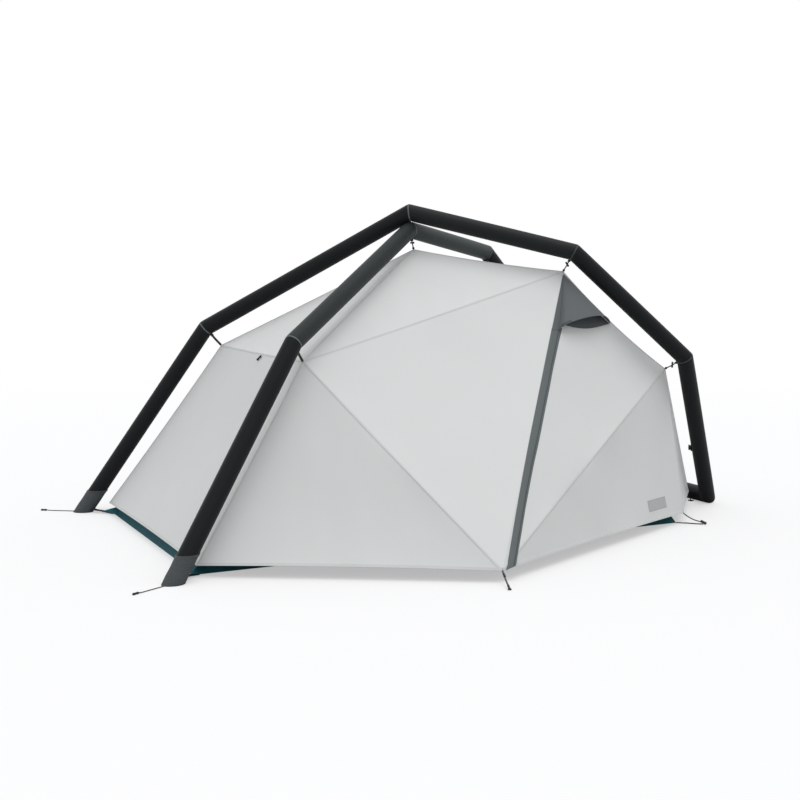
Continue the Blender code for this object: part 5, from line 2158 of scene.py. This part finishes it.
@dataclass
class InnerTent:
    """The inner tent: leaning walls with a doorway on each side, on a tray floor."""

    thickness: float = 0.0005
    cells: int = 16
    longer: float = 1.6
    belly: float = 0.004
    fold_depth: float = 0.004
    seat: float = 0.0007
    ridge_left: tuple[float, float, float] = (-0.350, 0.0, 1.000)
    ridge_right_x: float = 0.500
    door_x: float = -0.200
    door_foot_width: float = 0.720
    door_top_width: float = 0.420
    door_margin: float = 0.020
    door_length: float = 0.540
    door_gap: float = 0.0012
    door_cells: int = 20
    door_seed: float = 11.0
    floor_thickness: float = 0.0009
    floor_cells: int = 24
    floor_longer: float = 1.7
    ear_length: float = 0.046
    ear_rise: float = 0.010
    ear_root: float = 0.034
    ear_width: float = 0.034
    ear_tip_width: float = 0.012
    ear_height: float = 0.034
    ear_tip_height: float = 0.0016
    ear_seat: float = 0.0024
    ear_power: float = 0.8

    HOLE_WORDS = ("low_left", "low_right", "high_right", "high_left")
    EAR_TURNS = (-1.0, -0.6, -0.25, 0.0, 0.25, 0.6, 1.0)

    def build(self) -> None:
        """Make the walls, the doors and the floor."""
        self.build_floor()
        plan = self.wall_plan()
        members = [name for name in plan.names if not name.startswith("inner_door")]
        nodes = ("inner_wall_front", "inner_wall_back", "inner_end_left", "inner_end_right")
        walls = plan.sheet("walls", members, self.cells, self.thickness)
        dress(walls, "inner_walls", Palette.INNER, nodes, smooth=SOFT)
        plan.area(members)
        for side in Side:
            self.build_door(plan, side)
        LOG.info("inner tent made")

    def doorway(self, side: Side) -> list[Vector]:
        """The doorway's four corners, foot first.

        Args:
            side: the side of the doorway.

        Returns:
            The corners.
        """
        start, end = (FLOOR.rim_corner(word, side) + UP * self.seat for word in ("left", "right"))
        along = (end - start).normalized()
        up = (end - start).cross(Vector(self.ridge_left) - start).normalized().cross(along)
        if up.z < 0:
            up = -up
        foot = start + along * ((self.door_x - start.x) / along.x) + up * self.door_margin
        head = foot + up * self.door_length
        low, high = along * (self.door_foot_width / 2), along * (self.door_top_width / 2)
        return [foot - low, foot + low, head + high, head - high]

    def wall_plan(self) -> ClothPlan:
        """The inner walls' panels, split round the doorways.

        Returns:
            The plan.
        """
        corners = {"ridge_left": Vector(self.ridge_left)}
        panels = {
            "inner_end_left": ("left_back", "left_front", "ridge_left"),
            "inner_end_right": ("right_front", "right_back", "ridge_right"),
        }
        for side in Side:
            word = side.word
            for end in ("left", "right"):
                corners[f"{end}_{word}"] = FLOOR.rim_corner(end, side) + UP * self.seat
            outer = [f"left_{word}", f"right_{word}", "ridge_right", "ridge_left"]
            hole = [f"{name}_{word}" for name in self.HOLE_WORDS]
            corners.update(zip(hole, self.doorway(side)))
            for index, part in enumerate(("foot", "right", "head", "left")):
                after = (index + 1) % 4
                quad = (outer[index], outer[after], hole[after], hole[index])
                panels[f"inner_{part}_{word}"] = quad
            panels[f"inner_door_{word}"] = tuple(hole)
        start = corners["left_front"]
        normal = (corners["right_front"] - start).cross(corners["ridge_left"] - start)
        run = (self.ridge_right_x - start.x) * normal.x - start.y * normal.y
        corners["ridge_right"] = Vector((self.ridge_right_x, 0, start.z - run / normal.z))
        return ClothPlan(corners, panels, {"": self.belly}, self.fold_depth)

    def build_door(self, plan: ClothPlan, side: Side) -> None:
        """One inner door and the dark tape round its doorway.

        Args:
            plan: the inner walls' panels.
            side: the side of the door.
        """
        node = f"inner_door_{side.word}"
        corners = plan.panels[node].corners
        middle = mean(corners)
        inset = [corner + (middle - corner).normalized() * self.door_gap for corner in corners]
        leaf = Panel(inset, self.belly, self.fold_depth, self.door_seed)
        cutting = Cutting()
        leaf.cut_into(cutting, self.door_cells)
        piece = cutting.finish("leaf", self.thickness)
        dress(piece, node + "_leaf", Palette.INNER, [node], node, SOFT)
        0.999 * leaf.area()
        hole = [f"{name}_{side.word}" for name in self.HOLE_WORDS]
        edges = list(zip(hole, hole[1:] + hole[:1]))
        tape = plan.edge("tape", edges, DOORWAY_TAPE, skip=node)
        dress(tape, node + "_tape", Palette.INNER_TAPE)

    def build_floor(self) -> None:
        """The tray floor in one piece, its walls bowed a little inward."""
        corners = {}
        for side in Side:
            for end in ("left", "right"):
                corners[f"base_{end}_{side.word}"] = FLOOR.base_corner(end, side)
                corners[f"rim_{end}_{side.word}"] = FLOOR.rim_corner(end, side)
        base = [f"base_{k}" for k in ("left_front", "right_front", "right_back", "left_back")]
        rim = [name.replace("base", "rim") for name in base]
        panels = {"base": tuple(base[::-1])}
        for index in range(4):
            after = (index + 1) % 4
            panels[f"wall_{index}"] = (base[index], base[after], rim[after], rim[index])
        plan = ClothPlan(corners, panels, {"": self.belly, "base": 0.0}, self.fold_depth)
        plan.panels["base"].fold_depth = 0.0
        members = list(plan.names)
        floor = plan.sheet("floor", members, self.floor_cells, self.floor_thickness)
        dress(floor, "inner_floor_tray", Palette.FLOOR, ["inner_floor"], smooth=SOFT)
        ears = [self.build_ear(side) for side in Side]
        plan.area(members)

    def build_ear(self, side: Side) -> bpy.types.Object:
        """The corner of the floor that is drawn out towards a boot, folded along its middle.

        Args:
            side: the side of the boot.

        Returns:
            The new object.
        """
        corner, foot = FLOOR.base_corner("left", side), PLAN.arch(side)[0]
        aim = (foot - corner).normalized()
        across = aim.cross(UP)
        rows, flats = [], []
        for share in shares(10):
            middle = corner + aim * (self.ear_length * share - self.ear_root * (1 - share))
            middle.z += self.ear_rise * share
            half = self.ear_width * (1 - share) + self.ear_tip_width * share
            height = self.ear_height * (1 - share) + self.ear_tip_height
            row = []
            for turn in self.EAR_TURNS:
                rise = height * (1 - abs(turn)) ** self.ear_power + self.ear_seat
                row.append(middle + across * (half * turn) + UP * rise)
            rows.append(row)
            flats.append([(self.ear_length * share, half * turn) for turn in self.EAR_TURNS])
        ear = sewn("ear", rows, flats, -UP, self.floor_thickness)
        return dress(ear, f"inner_floor_ear_{side.word}", Palette.FLOOR, smooth=SOFT)


# Valve


@dataclass
class Valve:
    """The inflation valve on the front right leg."""

    share: float = 0.634
    sides: int = 48
    flange_radius: float = 0.018
    flange_height: float = 0.003
    flange_rim: float = 0.0015
    flange_sink: float = 0.0006
    collar_radius: float = 0.011
    collar_height: float = 0.006
    bore_radius: float = 0.008
    cap_radius: float = 0.0125
    cap_height: float = 0.004
    cap_rim: float = 0.0016
    cap_sink: float = 0.0008
    grip_rim: float = 0.0002
    grip_height: float = 0.0005
    lug_length: float = 0.005
    lug_width: float = 0.008
    lug_rounding: float = 0.0009

    def build(self) -> None:
        """Make the valve's body and its cap."""
        start, end = PLAN.arch(Side.BACK)[-2:]
        axis = (end - start).normalized()
        inward = Vector((-1, 1, 0))
        facing = (inward - inward.dot(axis) * axis).normalized()
        base = start.lerp(end, self.share) + facing * (PLAN.radius + GAP)
        self.build_ring(placed(base, facing, axis))
        top = base + facing * (self.flange_height + self.collar_height + GAP)
        self.build_cap(placed(top, facing, axis))

        reach = self.cap_radius + self.lug_length * 0.25
        middle = top + facing * (self.cap_height / 2) - axis * reach
        lug = block((self.lug_length, self.lug_width, self.cap_height))
        ease(lug, self.lug_rounding, 3)
        settle(lug, placed(middle, facing, axis))
        dress(lug, "valve_cap_lug", Palette.HARDWARE, body="valve_cap")
        LOG.info("valve made")

    def build_ring(self, place: Matrix) -> None:
        """The flange on the tube with its hollow collar.

        Args:
            place: where it sits.
        """
        body = disc(self.flange_radius, self.flange_height, self.sides)
        with editing(body) as bm:
            choose(body, bm.faces, lambda face: face.normal.z > 0.9)
            bpy.ops.mesh.inset(thickness=self.flange_rim, depth=-self.flange_sink)
            bpy.ops.mesh.inset(thickness=self.flange_radius - self.flange_rim - self.collar_radius)
            self.extrude(self.collar_height + self.flange_sink)
            bpy.ops.mesh.inset(thickness=self.collar_radius - self.bore_radius)
            self.extrude(-self.collar_height)
        ease(body, 0.0005)
        settle(body, place)
        dress(body, "valve_body_ring", Palette.HARDWARE, ["valve_body"])

    def build_cap(self, place: Matrix) -> None:
        """The cap with its sunk top and the grips round its rim.

        Args:
            place: where it sits.
        """
        cap = disc(self.cap_radius, self.cap_height, self.sides)
        with editing(cap) as bm:
            choose(cap, bm.faces, lambda face: face.normal.z > 0.9)
            bpy.ops.mesh.inset(thickness=self.cap_rim, depth=0.0)
            bpy.ops.mesh.inset(thickness=self.cap_sink, depth=-self.cap_sink)
            choose(cap, bm.faces, lambda face: abs(face.normal.z) < 0.1 and face.index % 3 == 0)
            bpy.ops.mesh.inset(thickness=self.grip_rim, depth=self.grip_height, use_individual=True)
        ease(cap, 0.0003)
        settle(cap, place)
        dress(cap, "valve_cap_lid", Palette.HARDWARE, ["valve_cap"], "valve_cap")

    @staticmethod
    def extrude(height: float) -> None:
        """Extrude the selected faces up or down."""
        bpy.ops.mesh.extrude_region_move(TRANSFORM_OT_translate={"value": (0, 0, height)})


# Peg cords


@dataclass
class PegCords:
    """The cords that run from the boots and the fly to the pegs, each with a black peg hook."""

    plan: ClothPlan
    radius: float = 0.0020
    tip_radius: float = 0.0045
    tip_length: float = 0.026
    tip_root: float = 0.002
    cross_length: float = 0.013
    cross_radius: float = 0.0034
    knot_radius: float = 0.0046
    knot_reach: float = 0.030
    knot_length: float = 0.022
    thick_radius: float = 0.0032
    side_radius: float = 0.0026
    side_tip_radius: float = 0.0064
    loop_side: float = 0.026
    loop_offset: tuple[float, float] = (0.004, 0.016)
    loop_strap: float = 0.006
    loop_strap_thickness: float = 0.0012
    strap_length: float = 0.040
    strap_width: float = 0.015
    strap_thickness: float = 0.0018
    boot_wall: float = 0.0012
    sag: float = 0.022
    side_sag: float = 0.065
    branch_bow: float = 0.006
    foot_peg: tuple[float, float] = (-1.596, 0.913)
    porch_peg: tuple[float, float] = (-0.3300, 1.405)
    side_peg: tuple[float, float] = (1.0750, 0.690)

    def build(self) -> None:
        """Make all cords."""
        for side in Side:
            word = side.word
            peg = self.peg(self.foot_peg, side)
            self.cord(f"tether_foot_{word}", self.boot_edge(side, peg), peg, self.radius, self.sag)
            peg = self.peg(self.porch_peg, side)
            start = self.clear_of(f"porch_{word}", peg)
            self.cord(f"tether_porch_{word}", start, peg, self.thick_radius, self.sag)
            self.cross(f"tether_porch_{word}", start, peg)
            peg = self.peg(self.side_peg, side)
            start = self.clear_of(f"hem_right_{word}", peg)
            sizes = self.side_radius, self.side_sag, self.side_tip_radius
            self.cord(f"tether_side_{word}", start, peg, *sizes)
            self.branch(f"tether_side_{word}", peg, side)
            self.tail_loop(side)
        LOG.info("peg cords made")

    def peg(self, place: tuple[float, float], side: Side) -> Vector:
        """Where a cord ends at its peg."""
        return Vector((place[0], side.value * place[1], self.tip_radius))

    def clear_of(self, corner: str, peg: Vector) -> Vector:
        """Where a cord starts, just clear of the fly's corner that it pulls on."""
        start = self.plan.corners[corner]
        return start + (peg - start).normalized() * GAP

    def boot_edge(self, side: Side, peg: Vector) -> Vector:
        """Where a cord leaves its boot, on the ground.

        Args:
            side: the side of the boot.
            peg: where the cord ends.

        Returns:
            The point.
        """
        foot, knee = PLAN.arch(side)[:2]
        axis = (knee - foot).normalized()
        outer = PLAN.radius + GAP + self.boot_wall
        aim = Vector((peg.x - foot.x, peg.y - foot.y, 0)).normalized()
        plan = Vector((axis.x, axis.y, 0))
        lean = plan.length / axis.z
        long_share = aim.dot(plan.normalized())
        short_share = math.sqrt(max(0.0, 1 - long_share * long_share))
        reach = 1 / math.hypot(long_share / (outer * math.sqrt(1 + lean * lean)), short_share / outer)
        start = foot + aim * (reach + GAP)
        start.z = self.radius
        return start

    def cord(
        self,
        node: str,
        start: Vector,
        peg: Vector,
        radius: float,
        sag: float,
        tip_radius: float = 0.0,
    ) -> None:
        """One cord with its peg hook.

        Args:
            node: the frame's node that it stands for.
            start: where it leaves the boot or the fly.
            peg: where it ends at the peg.
            radius: its radius.
            sag: how deep it hangs as a share of its length.
            tip_radius: the peg hook's radius, or 0 for the usual one.
        """
        axis = (peg - start).normalized()
        tip_start = peg - axis * self.tip_length
        tip_start.z = max(tip_start.z, peg.z)
        depth = sag * (peg - start).length
        path = []
        for share in shares(16):
            point = start.lerp(tip_start, share)
            point.z = max(point.z - depth * 4 * share * (1 - share), radius + GAP)
            path.append(point)
        piece = tube_along("cord", path, radius, 12)
        dress(piece, node + "_cord", Palette.CORD, [node], smooth=SOFT)
        tip_radius = tip_radius or self.tip_radius
        rise = UP * (tip_radius - self.tip_radius)
        tip = rounded_bar(tip_start - axis * self.tip_root + rise, peg + rise, tip_radius)
        dress(tip, node + "_tip", Palette.HARDWARE)
        path_length(path)

    def cross(self, node: str, start: Vector, peg: Vector) -> None:
        """The cross bar of a porch peg's hook, and the keeper on its cord by the fly.

        Args:
            node: the frame's node of the cord.
            start: where the cord leaves the fly.
            peg: where it ends at the peg.
        """
        axis = (peg - start).normalized()
        half = axis.cross(UP).normalized() * (self.cross_length / 2)
        bar = rounded_bar(peg - half, peg + half, self.cross_radius)
        dress(bar, node + "_cross", Palette.HARDWARE)
        middle = start + axis * self.knot_reach
        half = axis * (self.knot_length / 2)
        keeper = rounded_bar(middle - half, middle + half, self.knot_radius)
        dress(keeper, node + "_keeper", Palette.HARDWARE)

    def branch(self, node: str, peg: Vector, side: Side) -> None:
        """The second cord of a side peg, from a strap at the floor's corner to the same peg hook.

        Args:
            node: the frame's node of the first cord.
            peg: where both end.
            side: the side of the tent.
        """
        low = FLOOR.base_corner("right", side) + UP * self.radius
        aim = (peg - low).normalized()
        line = [low + aim * (self.strap_length * share) for share in (0.0, 0.25, 0.5, 0.75, 1.1)]
        strap = webbing("strap", line, self.strap_width, self.strap_thickness, UP)
        dress(strap, node + "_strap", Palette.WEBBING)
        start, stop = low + aim * self.strap_length, peg - aim * (self.tip_length / 2)
        path = []
        for share in shares(12):
            bow = Vector((0, side.value * self.branch_bow * 4 * share * (1 - share), 0))
            path.append(start.lerp(stop, share) + bow)
        piece = tube_along("branch", path, self.side_radius, 12)
        dress(piece, node + "_branch", Palette.CORD, smooth=SOFT)
        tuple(start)
        path_length(path)

    def tail_loop(self, side: Side) -> None:
        """The small black loop on the ground below the corner of the fly's right end.

        Args:
            side: the side of the corner.
        """
        corner = self.plan.corners[f"tail_{side.word}"]
        right, out = self.loop_offset
        middle = Vector((corner.x + right, corner.y + side.value * out, self.radius + GAP))
        reach = self.loop_side / math.sqrt(3)
        turns = [math.radians(angle) for angle in (90, 210, 330)]
        ends = [middle + Vector((reach * math.sin(a), reach * math.cos(a), 0)) for a in turns]
        seam = ends[0].lerp(ends[1], 0.5)
        loop = tube_along("loop", smooth_path([seam, ends[1], ends[2], ends[0], seam], 6), self.radius)
        dress(loop, f"tail_loop_{side.word}", Palette.HARDWARE)
        top = corner + Vector((-0.003, 0, -0.002))
        path = [top, top.lerp(middle, 0.4), top.lerp(middle, 0.8), middle]
        sizes = self.loop_strap, self.loop_strap_thickness
        strap = webbing("strap", path, *sizes, Vector((1, 0, 0)))
        dress(strap, f"tail_loop_{side.word}_strap", Palette.WEBBING)


# Studio


@dataclass
class Studio:
    """The camera, the pale ground and the light."""

    lens_mm: float = 62.724
    sensor_mm: float = 36.0
    eye: tuple[float, float, float] = (-2.7466, -5.7666, 1.2167)
    tilt_degrees: float = 84.027
    turn_degrees: float = -24.401
    ground_side: float = 60.0
    sky_colour: tuple[float, float, float] = (0.97, 0.985, 1.0)
    sky_strength: float = 0.90
    key_strength: float = 1.05
    key_spread_degrees: float = 50.0
    key_from: tuple[float, float, float] = (0.120, -0.216, 0.969)
    bounce_grey: float = 0.48
    shown_grey: float = 0.814
    glow_grey: float = 0.985
    glow_share: float = 0.46
    fade_start: float = 4.0
    fade_end: float = 9.0

    def build_camera(self) -> None:
        """Place the camera where the photograph was taken from."""
        data = bpy.data.cameras.new("camera")
        data.lens = self.lens_mm
        data.sensor_width = self.sensor_mm
        camera = bpy.data.objects.new("camera", data)
        camera.location = self.eye
        camera.rotation_euler = (math.radians(self.tilt_degrees), 0, math.radians(self.turn_degrees))
        bpy.context.scene.collection.objects.link(camera)
        bpy.context.scene.camera = camera

    @staticmethod
    def tone(tree: bpy.types.NodeTree, kind: str, colour: Sequence[float]) -> bpy.types.Node:
        """A shader of one tone.

        Args:
            tree: the node tree.
            kind: the shader's Blender type.
            colour: its colour.

        Returns:
            The new node.
        """
        node = tree.nodes.new(kind)
        node.inputs["Color"].default_value = (*colour, 1)
        return node

    @staticmethod
    def mixed(tree: bpy.types.NodeTree, share: object, *shaders: bpy.types.Node) -> bpy.types.Node:
        """Two shaders mixed.

        Args:
            tree: the node tree.
            share: how much of the second, a number or a socket.
            shaders: the two shaders.

        Returns:
            The new node.
        """
        node = tree.nodes.new("ShaderNodeMixShader")
        if isinstance(share, float):
            node.inputs["Fac"].default_value = share
        else:
            tree.links.new(share, node.inputs["Fac"])
        for socket, shader in zip(node.inputs[1:], shaders):
            tree.links.new(shader.outputs[0], socket)
        return node

    def build_light(self) -> None:
        """A white surround, one soft key light from above and the ground."""
        scene = bpy.context.scene
        scene.view_settings.view_transform = "Standard"
        world = bpy.data.worlds.new("studio")
        scene.world = world
        world.use_nodes = True
        tree = world.node_tree
        sky = tree.nodes["Background"]
        sky.inputs["Color"].default_value = (*self.sky_colour, 1)
        sky.inputs["Strength"].default_value = self.sky_strength
        rays = tree.nodes.new("ShaderNodeLightPath")
        seen = tree.nodes.new("ShaderNodeMath")
        seen.operation = "MAXIMUM"
        tree.links.new(rays.outputs["Is Camera Ray"], seen.inputs[0])
        tree.links.new(rays.outputs["Is Transmission Ray"], seen.inputs[1])
        white = self.tone(tree, "ShaderNodeBackground", (1, 1, 1))
        mix = self.mixed(tree, seen.outputs[0], sky, white)
        tree.links.new(mix.outputs[0], tree.nodes["World Output"].inputs["Surface"])

        key = bpy.data.lights.new("key", "SUN")
        key.energy = self.key_strength
        key.angle = math.radians(self.key_spread_degrees)
        lamp = bpy.data.objects.new("key", key)
        lamp.rotation_euler = Vector(self.key_from).to_track_quat("Z", "Y").to_euler()
        scene.collection.objects.link(lamp)
        self.build_ground()

    def build_ground(self) -> None:
        """A pale plane that shows nearly white, keeps the tent's shadow and has no visible far edge."""
        ground = added(bpy.ops.mesh.primitive_plane_add, size=self.ground_side)
        ground.name = "ground"
        material = bpy.data.materials.new("ground")
        material.use_nodes = True
        tree = material.node_tree
        tree.nodes.remove(tree.nodes["Principled BSDF"])
        place = tree.nodes.new("ShaderNodeTexCoord")
        length = tree.nodes.new("ShaderNodeVectorMath")
        length.operation = "LENGTH"
        tree.links.new(place.outputs["Object"], length.inputs[0])
        fade = tree.nodes.new("ShaderNodeMapRange")
        fade.interpolation_type = "SMOOTHSTEP"
        fade.inputs["From Min"].default_value = self.fade_start
        fade.inputs["From Max"].default_value = self.fade_end
        tree.links.new(length.outputs["Value"], fade.inputs["Value"])

        cloth = self.tone(tree, "ShaderNodeBsdfDiffuse", [self.shown_grey] * 3)
        glow = self.tone(tree, "ShaderNodeEmission", [self.glow_grey] * 3)
        white = self.tone(tree, "ShaderNodeEmission", (1, 1, 1))
        bounce = self.tone(tree, "ShaderNodeBsdfDiffuse", [self.bounce_grey] * 3)
        near = self.mixed(tree, self.glow_share, cloth, glow)
        shown = self.mixed(tree, fade.outputs["Result"], near, white)
        rays = tree.nodes.new("ShaderNodeLightPath")
        whole = self.mixed(tree, rays.outputs["Is Camera Ray"], bounce, shown)
        tree.links.new(whole.outputs[0], tree.nodes["Material Output"].inputs["Surface"])
        ground.data.materials.append(material)
        ground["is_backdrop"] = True


def dress_bladders() -> None:
    """Give the air chambers inside the sleeves their film."""
    for name in ("bladder_over", "bladder_under"):
        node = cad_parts[name]
        node.data.materials.clear()
        node.data.materials.append(Palette.get(Palette.FILM))


def write_sizes() -> None:
    """Work out the frame's box and the dressed tent's box, and keep neither."""
    boxes = {"cad": CAD_BOX, "visual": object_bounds()}
    {name: [list(corner) for corner in box] for name, box in boxes.items()}


def main() -> None:
    """Build the camera and cords, then every sub-assembly, then the light."""
    logging.basicConfig(level=logging.INFO, format="%(name)s: %(message)s")
    studio = Studio()
    studio.build_camera()
    fly = Fly()
    plan = fly.plan()
    PegCords(plan).build()
    fly.build(plan)
    for side in Side:
        DoorFittings(plan, side).build()
    Hooks(plan).build()
    AirFrame().build()
    Boots().build()
    InnerTent().build()
    Valve().build()
    dress_bladders()
    studio.build_light()
    write_sizes()


if __name__ == "__main__":
    main()
